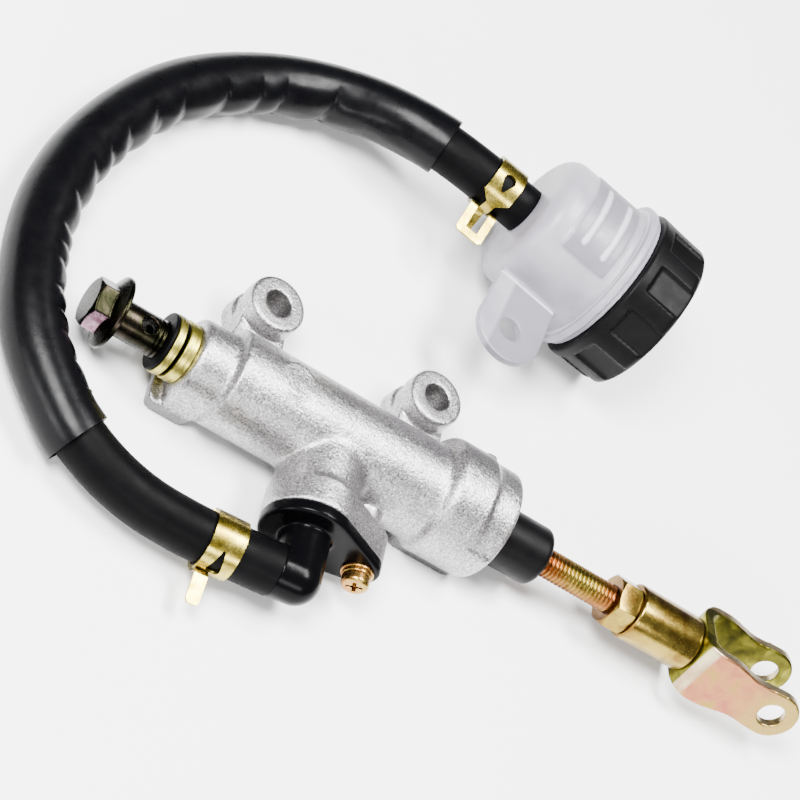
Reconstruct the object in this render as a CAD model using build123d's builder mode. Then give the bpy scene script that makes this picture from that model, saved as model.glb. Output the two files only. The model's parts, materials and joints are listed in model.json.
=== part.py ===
"""Rear brake master cylinder with remote reservoir.

Frame: the origin is midway between the two mounting holes, on the flat back of the casting (z = 0).
+X runs along the bore from the outlet bolt to the clevis, +Y points from the bore to the mounting
ears and +Z away from the back. Millimetres.
"""

import os
from math import cos, pi, radians, sin, sqrt, tan

from build123d import *

os.makedirs("parts", exist_ok=True)

# ---- bore and casting -------------------------------------------------------------------------
BORE_Y, BORE_Z = -27.4, 12.5  # the bore's axis, parallel to X
BORE_R = 6.35  # 12.7 mm bore
PORT_FACE_X, PORT_BOSS_R = -44.9, 10.4  # outlet end
SHOULDER_X, BARREL_R = -34.9, 13.0
FLARE_X, MOUTH_X, MOUTH_R = 26.2, 48.7, 15.7  # pushrod end
RIM_STEP_X, RIM_STEP, RIM_FLAT_Z = 40.3, 0.8, 18.4  # step down to the rim, above this height
MOUTH_OFFSET_Y, MOUTH_OFFSET_Z = 0.8, 0.5  # the mouth's rim stands a little off the bore's axis
BORE_FLOOR_X, COUNTERBORE_X, COUNTERBORE_R = -30.0, 31.5, 8.0
OUTLET_DEPTH, OUTLET_PASSAGE_R = 11.5, 1.5
EAR_X, EAR_R, EAR_HEIGHT, EAR_HOLE_R = 25.0, 7.9, 15.0, 3.7  # holes 50 mm apart
RAIL_HALF, RAIL_HEIGHT = 6.8, 4.2  # the flat back's rim
LUG_HALF, LUG_END_X = 11.1, -47.0
PAD_HEIGHT, PAD_HALF = 6.2, 10.4

# ---- inlet port on the -Y side ----------------------------------------------------------------
INLET_X = -1.5
INLET_FACE_Y = BORE_Y - 27.3  # where the elbow's flange meets the casting
INLET_PLATE, INLET_R, INLET_NECK_R = 8.0, 12.0, 11.0  # teardrop plate and the neck behind it
INLET_LUG_DX, INLET_LUG_DZ, INLET_LUG_R = 17.0, -1.5, 5.6  # the screw's lug
SOCKET_R, SOCKET_DEPTH = 5.0, 8.0
ELBOW_FLANGE, ELBOW_R = 3.4, 6.5
ELBOW_CORNER_Y = INLET_FACE_Y - 15.5  # where the elbow turns along the bore
ELBOW_TILT = 8.0  # degrees that the nipple points down
NIPPLE_START = 5.6  # from the corner to the hose's end
BARB_R, FLUID_R = 3.9, 2.0
NIPPLE_LENGTH, SPIGOT_LENGTH = 12.0, 11.0
SCREW_R, SCREW_HEAD_R, SCREW_HEAD = 2.0, 3.6, 2.9  # M4 pan head

# ---- outlet bolt and its seal washers ---------------------------------------------------------
BOLT_R, BOLT_HEX_AF, BOLT_FLANGE_R = 5.0, 12.0, 9.6  # M10
BOLT_HEAD_X, BOLT_SEAT_X, BOLT_TIP_X = -72.9, -65.5, -34.4
CROSS_HOLE_X, CROSS_HOLE_R = -57.5, 2.1
BOLT_TURN = 12.0  # degrees that its cross hole is turned from +Z towards -Y
SEAL_R, SEAL_RIM, SEAL_THICKNESS, SEAL_GAP = 8.0, 0.75, 3.2, 1.0

# ---- piston, pushrod and clevis ---------------------------------------------------------------
PISTON_R = 6.32
PISTON_FRONT_X, PISTON_REAR_X = -4.0, 38.0
BALL_X, BALL_R = 39.0, 4.4  # the pushrod's ball in the piston's cup
ROD_R, ROD_END_X = 3.95, 110.0  # M8 thread
WASHER_X, WASHER_R, WASHER_THICKNESS = 44.6, 7.55, 1.5
CIRCLIP_X, CIRCLIP_THICKNESS = 46.6, 1.2
BOOT_R, BOOT_END_X = 8.05, 65.2
NUT_X, NUT_END_X, NUT_AF = 88.4, 95.1, 13.0
CLEVIS_X, CLEVIS_SHOULDER_X, CLEVIS_R = 95.15, 115.5, 7.8
YOKE_EYE_X, YOKE_EYE_R, YOKE_HOLE_R = 143.9, 7.5, 3.75
YOKE_STRIP, YOKE_GAP_HALF, YOKE_HALF_WIDTH = 2.8, 7.0, 8.7
YOKE_ROLL = 18.0  # degrees that the clevis pin is rolled from -Y towards +Z

# ---- reservoir --------------------------------------------------------------------------------
RING_CENTRE = Vector(62.0, 58.5, 23.7)
RESERVOIR_TURN = 12.0  # degrees of its axis from +X towards -Y
BOTTLE_R, BOTTLE_LENGTH, BOTTLE_WALL = 20.0, 28.3, 2.0
RING_R, RING_START, RING_END, COLLAR_R = 23.1, -2.6, -0.4, 22.0
NECK_R, NECK_END = 19.5, 12.0
CAP_R, CAP_START, CAP_END = 23.6, 1.5, 17.7
CAP_GRIPS, GRIP_WIDTH, GRIP_DEPTH = 10, 8.6, 1.4
SPIGOT_COLLAR_R, HOSE_END_S = 5.6, -28.5
TAB_S, TAB_REACH, TAB_R, TAB_ROOT_HALF, TAB_HOLE_R = -16.7, 36.0, 10.0, 9.0, 3.35
TAB_THICKNESS, TAB_TOP_Z = 2.4, 22.0
PANEL_START, PANEL_LENGTH, PANEL_RISE = -20.0, 14.5, 0.8
PANEL_FROM, PANEL_TO = -47.5, 31.0  # degrees from +Z, positive towards the far side
LEVEL_MARKS = (-16.2, -9.4)

# ---- hose -------------------------------------------------------------------------------------
HOSE_R, HOSE_BORE_R, SLEEVE_R, HOSE_CLEARANCE = 6.8, 3.95, 8.05, 0.1
CLAMP_WIDTH, CLAMP_BAND = 8.4, 0.8
LOWER_CLAMP_DISTANCE, UPPER_CLAMP_DISTANCE = 14.2, 11.0  # from each end of the hose
SLEEVE_FIRST_EDGE, SLEEVE_LAST_EDGE = 4, -3  # the hose path's edges that the sleeve covers


def bore_plane(x):
    """Across the bore at x: local x is +Y, local y is +Z, and it extrudes towards +X."""
    return Plane(origin=(x, BORE_Y, BORE_Z), x_dir=(0, 1, 0), z_dir=(1, 0, 0))


def section_plane(y=BORE_Y, z=BORE_Z):
    """Along the bore: local x is +X, local y is +Z."""
    return Plane(origin=(0, y, z), x_dir=(1, 0, 0), z_dir=(0, -1, 0))


def inlet_plane(y):
    """Across the inlet port at y: local x is +X, local y is +Z, and it extrudes towards -Y."""
    return Plane(origin=(INLET_X, y, BORE_Z), x_dir=(1, 0, 0), z_dir=(0, -1, 0))


TURN = radians(RESERVOIR_TURN)
RESERVOIR_DIR = Vector(cos(TURN), -sin(TURN), 0)


def reservoir_plane(s):
    """Across the reservoir at distance s past its ring: local y is +Z, and it extrudes to the cap."""
    return Plane(
        origin=RING_CENTRE + RESERVOIR_DIR * s,
        x_dir=(sin(TURN), cos(TURN), 0),
        z_dir=RESERVOIR_DIR,
    )


BORE_AXIS = Axis((0, BORE_Y, BORE_Z), (1, 0, 0))
RESERVOIR_AXIS = Axis(RING_CENTRE, RESERVOIR_DIR)
RESERVOIR_SECTION = Plane(origin=RING_CENTRE, x_dir=RESERVOIR_DIR, z_dir=(-sin(TURN), -cos(TURN), 0))


def save(builder, name):
    """Name a finished piece and write its STEP file."""
    builder.part.label = name
    export_step(builder.part, f"parts/{name}.step")


# ---- cylinder body ----------------------------------------------------------------------------
def teardrop():
    """The inlet plate's outline: a round port joined by tangents to the screw's lug."""
    with BuildSketch(mode=Mode.PRIVATE) as outline:
        Circle(INLET_R)
        with Locations((INLET_LUG_DX, INLET_LUG_DZ)):
            Circle(INLET_LUG_R)
        make_hull()
    return outline.sketch


with BuildPart() as cylinder_body:
    # port boss and barrel
    with BuildSketch(section_plane()):
        with BuildLine():
            Polyline((PORT_FACE_X, 0), (PORT_FACE_X, PORT_BOSS_R - 1.6))
            RadiusArc((PORT_FACE_X, PORT_BOSS_R - 1.6), (PORT_FACE_X + 1.6, PORT_BOSS_R), 1.6)
            Polyline(
                (PORT_FACE_X + 1.6, PORT_BOSS_R),
                (SHOULDER_X - 0.6, PORT_BOSS_R),
                (SHOULDER_X + 0.8, BARREL_R),
                (FLARE_X + 12, BARREL_R),
                (FLARE_X + 12, 0),
                (PORT_FACE_X, 0),
            )
        make_face()
    revolve(axis=BORE_AXIS)
    # flared mouth, its rim a little off the axis
    mouth_y, mouth_z = BORE_Y + MOUTH_OFFSET_Y, BORE_Z + MOUTH_OFFSET_Z
    with BuildSketch(section_plane(mouth_y, mouth_z)):
        with BuildLine():
            Polyline((FLARE_X, 0), (FLARE_X, BARREL_R - 1.2))
            Spline(
                (FLARE_X, BARREL_R - 1.2),
                (FLARE_X + 4.6, MOUTH_R),
                tangents=[(1, 0.35), (1, 0.12)],
            )
            Polyline((FLARE_X + 4.6, MOUTH_R), (MOUTH_X - 2.8, MOUTH_R))
            RadiusArc((MOUTH_X - 2.8, MOUTH_R), (MOUTH_X, MOUTH_R - 2.8), 2.8)
            Polyline((MOUTH_X, MOUTH_R - 2.8), (MOUTH_X, 0), (FLARE_X, 0))
        make_face()
    revolve(axis=Axis((0, mouth_y, mouth_z), (1, 0, 0)))
    # flat back: a rim under the barrel, a drafted lug under the port and a thicker pad at the mouth
    with BuildSketch(Plane.XY):
        with Locations(((SHOULDER_X + MOUTH_X) / 2 - 2, BORE_Y)):
            Rectangle(MOUTH_X - SHOULDER_X - 2, 2 * RAIL_HALF)
    extrude(amount=RAIL_HEIGHT)
    with BuildSketch(Plane.XY):
        with Locations(((LUG_END_X + SHOULDER_X) / 2, BORE_Y)):
            RectangleRounded(SHOULDER_X - LUG_END_X, 2 * (LUG_HALF - 0.7), 2.0)
    extrude(amount=RAIL_HEIGHT, taper=-9)
    with BuildSketch(Plane.XY.offset(RAIL_HEIGHT)):
        with Locations(((PORT_FACE_X + SHOULDER_X) / 2 + 0.4, BORE_Y)):
            RectangleRounded(SHOULDER_X - PORT_FACE_X - 0.8, 2 * PORT_BOSS_R, 1.0)
    extrude(amount=BORE_Z - RAIL_HEIGHT)
    with BuildSketch(Plane.XY):
        with Locations(((FLARE_X + MOUTH_X) / 2, BORE_Y)):
            RectangleRounded(MOUTH_X - FLARE_X - 1.6, 2 * PAD_HALF, 2.5)
    extrude(amount=PAD_HEIGHT)
    # mounting ears: a front boss, a slimmer waist, a rear boss and a flared web to the barrel
    for side in (-1, 1):
        with BuildSketch(Plane.XY):
            with Locations((side * EAR_X, 0)):
                Circle(EAR_R)
        extrude(amount=5.2)
        with BuildSketch(Plane.XY.offset(5.2)):
            with Locations((side * EAR_X, 0)):
                Circle(EAR_R - 1.2)
        extrude(amount=EAR_HEIGHT - 5.2 - 5.6)
        with BuildSketch(Plane.XY.offset(EAR_HEIGHT - 5.6)):
            with Locations((side * EAR_X, 0)):
                Circle(EAR_R)
        front_boss = extrude(amount=5.6)
        fillet(front_boss.edges().group_by(Axis.Z)[-1], 1.0)
        with BuildSketch(Plane.XY.offset(0.8)):
            with BuildLine():
                Polyline((side * (EAR_X - 6.6), 0.5), (side * (EAR_X - 7.0), -9.0))
                Line((side * (EAR_X - 7.0), -9.0), (side * (EAR_X - 12.5), -17.5))
                Line((side * (EAR_X - 12.5), -17.5), (side * (EAR_X + 10.5), -17.5))
                Line((side * (EAR_X + 10.5), -17.5), (side * (EAR_X + 6.8), -7.5))
                Line((side * (EAR_X + 6.8), -7.5), (side * (EAR_X + 6.6), 0.5))
                Line((side * (EAR_X + 6.6), 0.5), (side * (EAR_X - 6.6), 0.5))
            make_face()
        extrude(amount=8.6)
    # flat core-pin spot on the barrel
    with BuildSketch(Plane.XY.offset(BORE_Z)):
        with Locations((-19.5, BORE_Y + 1.0)):
            Circle(4.75)
    extrude(amount=BARREL_R - 0.12)
    # the mouth steps down to its rim all round the top
    with BuildSketch(Plane(origin=(RIM_STEP_X, mouth_y, mouth_z), x_dir=(0, 1, 0), z_dir=(1, 0, 0))):
        Circle(MOUTH_R + 2)
        Circle(MOUTH_R - RIM_STEP, mode=Mode.SUBTRACT)
        with Locations((0, RIM_FLAT_Z - mouth_z + 15)):
            Rectangle(60, 30, mode=Mode.INTERSECT)
    extrude(amount=MOUTH_X - RIM_STEP_X + 1, mode=Mode.SUBTRACT)
    # parting-line nib on the step
    with BuildSketch(Plane.XY.offset(BORE_Z + 4)):
        with Locations((RIM_STEP_X + 0.6, BORE_Y + MOUTH_R - 2.0)):
            RectangleRounded(3.2, 2.6, 0.8)
    extrude(amount=5.0)
    # inlet port: neck, teardrop plate and the screw's boss behind its lug
    with BuildSketch(inlet_plane(BORE_Y)):
        Circle(INLET_NECK_R)
    extrude(amount=BORE_Y - INLET_FACE_Y - 4)
    with BuildSketch(inlet_plane(INLET_FACE_Y + INLET_PLATE)):
        add(teardrop())
    extrude(amount=INLET_PLATE)
    with BuildSketch(inlet_plane(BORE_Y - 6)):
        with Locations((INLET_LUG_DX - 1.0, INLET_LUG_DZ - 1.0)):
            Circle(4.1)
    extrude(amount=BORE_Y - 6 - INLET_FACE_Y - 4)
    # nothing stands below the flat back
    with Locations((0, BORE_Y, -10)):
        Box(260, 120, 20, mode=Mode.SUBTRACT)
    # bore, open at the mouth, with the pushrod's counterbore and the circlip's groove
    with BuildSketch(bore_plane(BORE_FLOOR_X)):
        Circle(BORE_R)
    extrude(amount=MOUTH_X - BORE_FLOOR_X + 1, mode=Mode.SUBTRACT)
    with BuildSketch(bore_plane(COUNTERBORE_X)):
        Circle(COUNTERBORE_R)
    extrude(amount=MOUTH_X - COUNTERBORE_X + 1, mode=Mode.SUBTRACT)
    with BuildSketch(bore_plane(CIRCLIP_X - 0.05)):
        Circle(COUNTERBORE_R + 0.85)
    extrude(amount=CIRCLIP_THICKNESS + 0.1, mode=Mode.SUBTRACT)
    # outlet port and its passage
    with BuildSketch(bore_plane(PORT_FACE_X)):
        Circle(BOLT_R + 0.02)
    extrude(amount=OUTLET_DEPTH, mode=Mode.SUBTRACT)
    with BuildSketch(bore_plane(PORT_FACE_X)):
        Circle(OUTLET_PASSAGE_R)
    extrude(amount=BORE_FLOOR_X - PORT_FACE_X + 1, mode=Mode.SUBTRACT)
    # inlet socket, feed hole, fine compensating hole and the screw's hole
    with BuildSketch(inlet_plane(INLET_FACE_Y)):
        Circle(SOCKET_R)
    extrude(amount=-SOCKET_DEPTH, mode=Mode.SUBTRACT)
    with BuildSketch(inlet_plane(BORE_Y)):
        with Locations((3.4, 0)):
            Circle(1.4)
        with Locations((-3.9, 0)):
            Circle(0.4)
    extrude(amount=BORE_Y - INLET_FACE_Y, mode=Mode.SUBTRACT)
    with BuildSketch(inlet_plane(INLET_FACE_Y)):
        with Locations((INLET_LUG_DX, INLET_LUG_DZ)):
            Circle(SCREW_R + 0.05)
    extrude(amount=-10.5, mode=Mode.SUBTRACT)
    for side in (-1, 1):
        with BuildSketch(Plane.XY):
            with Locations((side * EAR_X, 0)):
                Circle(EAR_HOLE_R)
        extrude(amount=EAR_HEIGHT, mode=Mode.SUBTRACT)
save(cylinder_body, "cylinder_body")

# ---- outlet bolt ------------------------------------------------------------------------------
with BuildPart() as banjo_bolt:
    with BuildSketch(bore_plane(BOLT_HEAD_X)):
        RegularPolygon(BOLT_HEX_AF / 2, 6, major_radius=False, rotation=8 + BOLT_TURN)
    extrude(amount=6.0)
    with BuildSketch(section_plane()):
        with BuildLine():
            flange_back = BOLT_SEAT_X - 1.3
            Polyline(
                (BOLT_HEAD_X, 0),
                (BOLT_HEAD_X, 5.7),
                (BOLT_HEAD_X + 0.9, 7.2),
                (BOLT_HEAD_X + 5.2, 7.2),
                (BOLT_HEAD_X + 5.2, 0),
                close=True,
            )
        make_face()
    revolve(axis=BORE_AXIS, mode=Mode.INTERSECT)
    with BuildSketch(section_plane()):
        with BuildLine():
            Polyline(
                (BOLT_HEAD_X + 4.6, 0),
                (BOLT_HEAD_X + 4.6, 6.2),
                (flange_back, BOLT_FLANGE_R - 0.25),
                (flange_back + 0.25, BOLT_FLANGE_R),
                (BOLT_SEAT_X, BOLT_FLANGE_R),
                (BOLT_SEAT_X, BOLT_R - 0.15),
                (CROSS_HOLE_X + 2.4, BOLT_R - 0.15),
                (CROSS_HOLE_X + 2.6, BOLT_R),
                (BOLT_TIP_X - 1, BOLT_R),
                (BOLT_TIP_X, BOLT_R - 1),
                (BOLT_TIP_X, 0),
                close=True,
            )
        make_face()
    revolve(axis=BORE_AXIS)
    hole_dir = (0, -sin(radians(BOLT_TURN)), cos(radians(BOLT_TURN)))
    with BuildSketch(Plane(origin=(CROSS_HOLE_X, BORE_Y, BORE_Z), x_dir=(1, 0, 0), z_dir=hole_dir)):
        Circle(CROSS_HOLE_R)
    extrude(amount=BOLT_R + 1, both=True, mode=Mode.SUBTRACT)
    with BuildSketch(bore_plane(CROSS_HOLE_X - 1)):
        Circle(FLUID_R)
    extrude(amount=BOLT_TIP_X - CROSS_HOLE_X + 2, mode=Mode.SUBTRACT)
save(banjo_bolt, "banjo_bolt")

seal_starts = (PORT_FACE_X - 2 * SEAL_THICKNESS - SEAL_GAP, PORT_FACE_X - SEAL_THICKNESS)
with BuildPart() as seal_washers:
    for start in seal_starts:
        with BuildSketch(bore_plane(start)):
            Circle(SEAL_R)
            Circle(SEAL_R - SEAL_RIM, mode=Mode.SUBTRACT)
        extrude(amount=SEAL_THICKNESS)
save(seal_washers, "seal_washers")

with BuildPart() as seal_washer_rubbers:
    for start in seal_starts:
        with BuildSketch(bore_plane(start)):
            Circle(SEAL_R - SEAL_RIM)
            Circle(BOLT_R + 0.05, mode=Mode.SUBTRACT)
        extrude(amount=SEAL_THICKNESS)
save(seal_washer_rubbers, "seal_washer_rubbers")

# ---- inlet elbow, its seal and its screw ------------------------------------------------------
TILT = radians(ELBOW_TILT)
NIPPLE_DIR = Vector(-cos(TILT), 0, -sin(TILT))
CORNER = Vector(INLET_X, ELBOW_CORNER_Y, BORE_Z)


def nipple_plane(distance):
    """Across the nipple at a distance from the elbow's corner, facing the hose."""
    return Plane(origin=CORNER + NIPPLE_DIR * distance, x_dir=(0, 1, 0), z_dir=NIPPLE_DIR)


with BuildPart() as inlet_elbow:
    with BuildSketch(inlet_plane(INLET_FACE_Y)):
        add(teardrop())
    plate = extrude(amount=ELBOW_FLANGE)
    fillet(plate.edges().group_by(Axis.Y)[0], 0.8)
    with BuildSketch(inlet_plane(INLET_FACE_Y)):
        Circle(SOCKET_R - 0.1)
    extrude(amount=-SOCKET_DEPTH + 0.5)
    with BuildSketch(inlet_plane(INLET_FACE_Y - 1)):
        Circle(ELBOW_R)
    extrude(amount=INLET_FACE_Y - 1 - ELBOW_CORNER_Y)
    with Locations(CORNER):
        Sphere(ELBOW_R)
    with BuildSketch(nipple_plane(0)):
        Circle(ELBOW_R)
    extrude(amount=NIPPLE_START)
    with BuildSketch(nipple_plane(NIPPLE_START)):
        Circle(BARB_R)
    extrude(amount=NIPPLE_LENGTH)
    with BuildSketch(nipple_plane(0)):
        Circle(FLUID_R)
    extrude(amount=NIPPLE_START + NIPPLE_LENGTH, mode=Mode.SUBTRACT)
    with BuildSketch(inlet_plane(ELBOW_CORNER_Y)):
        Circle(FLUID_R)
    extrude(amount=ELBOW_CORNER_Y - INLET_FACE_Y - SOCKET_DEPTH, mode=Mode.SUBTRACT)
    with Locations(CORNER):
        Sphere(FLUID_R, mode=Mode.SUBTRACT)
    with BuildSketch(inlet_plane(INLET_FACE_Y)):
        with Locations((INLET_LUG_DX, INLET_LUG_DZ)):
            Circle(SCREW_R + 0.25)
    extrude(amount=ELBOW_FLANGE, mode=Mode.SUBTRACT)
    # groove for the O-ring
    with BuildSketch(inlet_plane(INLET_FACE_Y + 5.4)):
        Circle(SOCKET_R)
        Circle(SOCKET_R - 1.6, mode=Mode.SUBTRACT)
    extrude(amount=2.0, mode=Mode.SUBTRACT)
save(inlet_elbow, "inlet_elbow")

with BuildPart() as elbow_o_ring:
    with BuildSketch(inlet_plane(INLET_FACE_Y + 5.3)):
        Circle(SOCKET_R - 0.02)
        Circle(SOCKET_R - 1.55, mode=Mode.SUBTRACT)
    ring = extrude(amount=1.8)
    fillet(ring.edges().filter_by(GeomType.CIRCLE), 0.6)
save(elbow_o_ring, "elbow_o_ring")

WASHER_STACK_Y = INLET_FACE_Y - ELBOW_FLANGE
with BuildPart() as elbow_screw_washers:
    for start, radius, thickness in ((0.0, 4.2, 0.8), (0.82, 3.8, 1.0)):
        with BuildSketch(inlet_plane(WASHER_STACK_Y - start)):
            with Locations((INLET_LUG_DX, INLET_LUG_DZ)):
                Circle(radius)
                Circle(SCREW_R + 0.1, mode=Mode.SUBTRACT)
        extrude(amount=thickness)
save(elbow_screw_washers, "elbow_screw_washers")

HEAD_SEAT_Y = WASHER_STACK_Y - 1.84
with BuildPart() as elbow_screw:
    with BuildSketch(inlet_plane(HEAD_SEAT_Y)):
        with Locations((INLET_LUG_DX, INLET_LUG_DZ)):
            Circle(SCREW_HEAD_R)
    extrude(amount=SCREW_HEAD)
    fillet(elbow_screw.edges().group_by(Axis.Y)[0], 1.1)
    with BuildSketch(inlet_plane(HEAD_SEAT_Y)):
        with Locations((INLET_LUG_DX, INLET_LUG_DZ)):
            Circle(SCREW_R)
    extrude(amount=-14.0)
    # cross recess
    with BuildSketch(inlet_plane(HEAD_SEAT_Y - SCREW_HEAD)):
        with Locations((INLET_LUG_DX, INLET_LUG_DZ)):
            Rectangle(4.2, 0.9, rotation=30)
            Rectangle(0.9, 4.2, rotation=30)
    extrude(amount=-1.8, mode=Mode.SUBTRACT)
save(elbow_screw, "elbow_screw")

# ---- piston, cups, spring ---------------------------------------------------------------------
CUP_X, CUP_LENGTH = PISTON_FRONT_X, 4.0  # the primary cup sits on the piston's nose
REAR_CUP_X, REAR_CUP_LENGTH = 19.0, 3.6
with BuildPart() as piston:
    with BuildSketch(section_plane()):
        with BuildLine():
            Polyline(
                (CUP_X - 1.2, 0),
                (CUP_X - 1.2, 2.6),
                (CUP_X + CUP_LENGTH, 2.6),
                (CUP_X + CUP_LENGTH, PISTON_R),
                (5.0, PISTON_R),
                (5.0, 4.0),
                (16.0, 4.0),
                (16.0, PISTON_R),
                (REAR_CUP_X, PISTON_R),
                (REAR_CUP_X, 4.2),
                (REAR_CUP_X + REAR_CUP_LENGTH, 4.2),
                (REAR_CUP_X + REAR_CUP_LENGTH, PISTON_R),
                (PISTON_REAR_X, PISTON_R),
                (PISTON_REAR_X, 0),
                close=True,
            )
        make_face()
    revolve(axis=BORE_AXIS)
    with Locations((BALL_X, BORE_Y, BORE_Z)):
        Sphere(BALL_R + 0.06, mode=Mode.SUBTRACT)
save(piston, "piston")

with BuildPart() as primary_cup:
    with BuildSketch(section_plane()):
        with BuildLine():
            Polyline(
                (CUP_X + CUP_LENGTH, 2.65),
                (CUP_X + CUP_LENGTH, 5.9),
                (CUP_X + 0.2, BORE_R - 0.02),
                (CUP_X, BORE_R - 0.25),
                (CUP_X + 0.2, 5.0),
                (CUP_X + 2.2, 4.2),
                (CUP_X + 0.6, 3.4),
                (CUP_X + 0.6, 2.65),
                close=True,
            )
        make_face()
    revolve(axis=BORE_AXIS)
save(primary_cup, "primary_cup")

with BuildPart() as secondary_cup:
    with BuildSketch(section_plane()):
        with BuildLine():
            Polyline(
                (REAR_CUP_X + REAR_CUP_LENGTH - 0.1, 4.25),
                (REAR_CUP_X + REAR_CUP_LENGTH - 0.1, 5.8),
                (REAR_CUP_X + 0.3, BORE_R - 0.02),
                (REAR_CUP_X + 0.1, BORE_R - 0.3),
                (REAR_CUP_X + 0.9, 5.0),
                (REAR_CUP_X + 0.1, 4.25),
                close=True,
            )
        make_face()
    revolve(axis=BORE_AXIS)
save(secondary_cup, "secondary_cup")

SPRING_R, SPRING_WIRE_R, SPRING_TURNS = 4.4, 0.55, 7
SPRING_START_X, SPRING_END_X = BORE_FLOOR_X + 0.6, CUP_X - 1.8
with BuildPart() as return_spring:
    spring_length = SPRING_END_X - SPRING_START_X
    with BuildLine():
        coil = Helix(
            pitch=spring_length / SPRING_TURNS,
            height=spring_length,
            radius=SPRING_R,
            center=(SPRING_START_X, BORE_Y, BORE_Z),
            direction=(1, 0, 0),
        )
    with BuildSketch(Plane(origin=coil @ 0, z_dir=coil % 0)):
        Circle(SPRING_WIRE_R)
    sweep(path=coil, is_frenet=True)
save(return_spring, "return_spring")

# ---- pushrod and what holds it ----------------------------------------------------------------
with BuildPart() as circlip:
    with BuildSketch(bore_plane(CIRCLIP_X)):
        Circle(COUNTERBORE_R + 0.8)
        Circle(6.4, mode=Mode.SUBTRACT)
        with Locations((0, -8)):
            Rectangle(5.2, 6, mode=Mode.SUBTRACT)
    extrude(amount=CIRCLIP_THICKNESS)
save(circlip, "circlip")

with BuildPart() as stop_washer:
    with BuildSketch(bore_plane(WASHER_X)):
        Circle(WASHER_R)
        Circle(3.1, mode=Mode.SUBTRACT)
    extrude(amount=WASHER_THICKNESS)
save(stop_washer, "stop_washer")

with BuildPart() as pushrod:
    with Locations((BALL_X, BORE_Y, BORE_Z)):
        Sphere(BALL_R)
    with BuildSketch(section_plane()):
        with BuildLine():
            neck_x = WASHER_X + WASHER_THICKNESS + 0.03
            Polyline(
                (BALL_X, 0),
                (BALL_X, 3.0),
                (neck_x, 3.0),
                (neck_x, ROD_R),
                (ROD_END_X - 1, ROD_R),
                (ROD_END_X, ROD_R - 1),
                (ROD_END_X, 0),
                close=True,
            )
        make_face()
    revolve(axis=BORE_AXIS)
save(pushrod, "pushrod")

with BuildPart() as pushrod_boot:
    with BuildSketch(section_plane()):
        with BuildLine():
            boot_in = CIRCLIP_X + CIRCLIP_THICKNESS + 0.1
            Polyline((boot_in, 6.5), (boot_in, COUNTERBORE_R - 0.02), (MOUTH_X, COUNTERBORE_R - 0.02))
            Polyline((MOUTH_X, COUNTERBORE_R - 0.02), (MOUTH_X + 0.2, BOOT_R), (BOOT_END_X - 1.8, BOOT_R))
            RadiusArc((BOOT_END_X - 1.8, BOOT_R), (BOOT_END_X, BOOT_R - 1.8), 1.8)
            Polyline(
                (BOOT_END_X, BOOT_R - 1.8),
                (BOOT_END_X, ROD_R + 0.05),
                (BOOT_END_X - 2.4, ROD_R + 0.05),
                (BOOT_END_X - 2.4, 6.5),
                (boot_in, 6.5),
            )
        make_face()
    revolve(axis=BORE_AXIS)
save(pushrod_boot, "pushrod_boot")

with BuildPart() as lock_nut:
    with BuildSketch(bore_plane(NUT_X)):
        RegularPolygon(NUT_AF / 2, 6, major_radius=False, rotation=14)
        Circle(ROD_R + 0.04, mode=Mode.SUBTRACT)
    extrude(amount=NUT_END_X - NUT_X)
    with BuildSketch(section_plane()):
        with BuildLine():
            Polyline(
                (NUT_X, 0),
                (NUT_X, NUT_AF / 2 - 0.1),
                (NUT_X + 0.8, NUT_AF / sqrt(3)),
                (NUT_END_X - 0.8, NUT_AF / sqrt(3)),
                (NUT_END_X, NUT_AF / 2 - 0.1),
                (NUT_END_X, 0),
                close=True,
            )
        make_face()
    revolve(axis=BORE_AXIS, mode=Mode.INTERSECT)
save(lock_nut, "lock_nut")

# ---- clevis -----------------------------------------------------------------------------------
RIVET_R, RIVET_HEAD_R = 2.9, 3.7  # the barrel's spigot, swaged over inside the yoke
with BuildPart() as clevis_barrel:
    with BuildSketch(section_plane()):
        with BuildLine():
            head_x = CLEVIS_SHOULDER_X + YOKE_STRIP
            Polyline(
                (CLEVIS_X, ROD_R + 0.05),
                (CLEVIS_X, CLEVIS_R - 0.6),
                (CLEVIS_X + 0.6, CLEVIS_R),
                (CLEVIS_SHOULDER_X - 0.4, CLEVIS_R),
                (CLEVIS_SHOULDER_X, CLEVIS_R - 0.4),
                (CLEVIS_SHOULDER_X, RIVET_R),
                (head_x, RIVET_R),
                (head_x, RIVET_HEAD_R),
                (head_x + 0.6, RIVET_HEAD_R - 0.3),
                (head_x + 0.9, 0),
                (CLEVIS_SHOULDER_X - 3, 0),
                (CLEVIS_SHOULDER_X - 5, ROD_R + 0.05),
                close=True,
            )
        make_face()
    revolve(axis=BORE_AXIS)
save(clevis_barrel, "clevis_barrel")

ROLL = radians(YOKE_ROLL)
PIN_DIR = Vector(0, -cos(ROLL), sin(ROLL))
YOKE_OUT = YOKE_GAP_HALF + YOKE_STRIP
YOKE_CORNER_R = 6.0
yoke_side = Plane(origin=(0, BORE_Y, BORE_Z), x_dir=(1, 0, 0), z_dir=PIN_DIR)
yoke_edge = Plane(origin=(0, BORE_Y, BORE_Z), x_dir=(1, 0, 0), z_dir=PIN_DIR.cross(Vector(1, 0, 0)))


def yoke_outline(base_x, half_height, corner_r):
    """A block from base_x past the eyes, its two corners at the base rounded."""
    length = YOKE_EYE_X + YOKE_EYE_R + 1 - base_x
    with BuildSketch(mode=Mode.PRIVATE) as outline:
        with Locations((base_x + length / 2, 0)):
            Rectangle(length, 2 * half_height)
        fillet(outline.vertices().group_by(Axis.X)[0], corner_r)
    return outline.sketch


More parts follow.
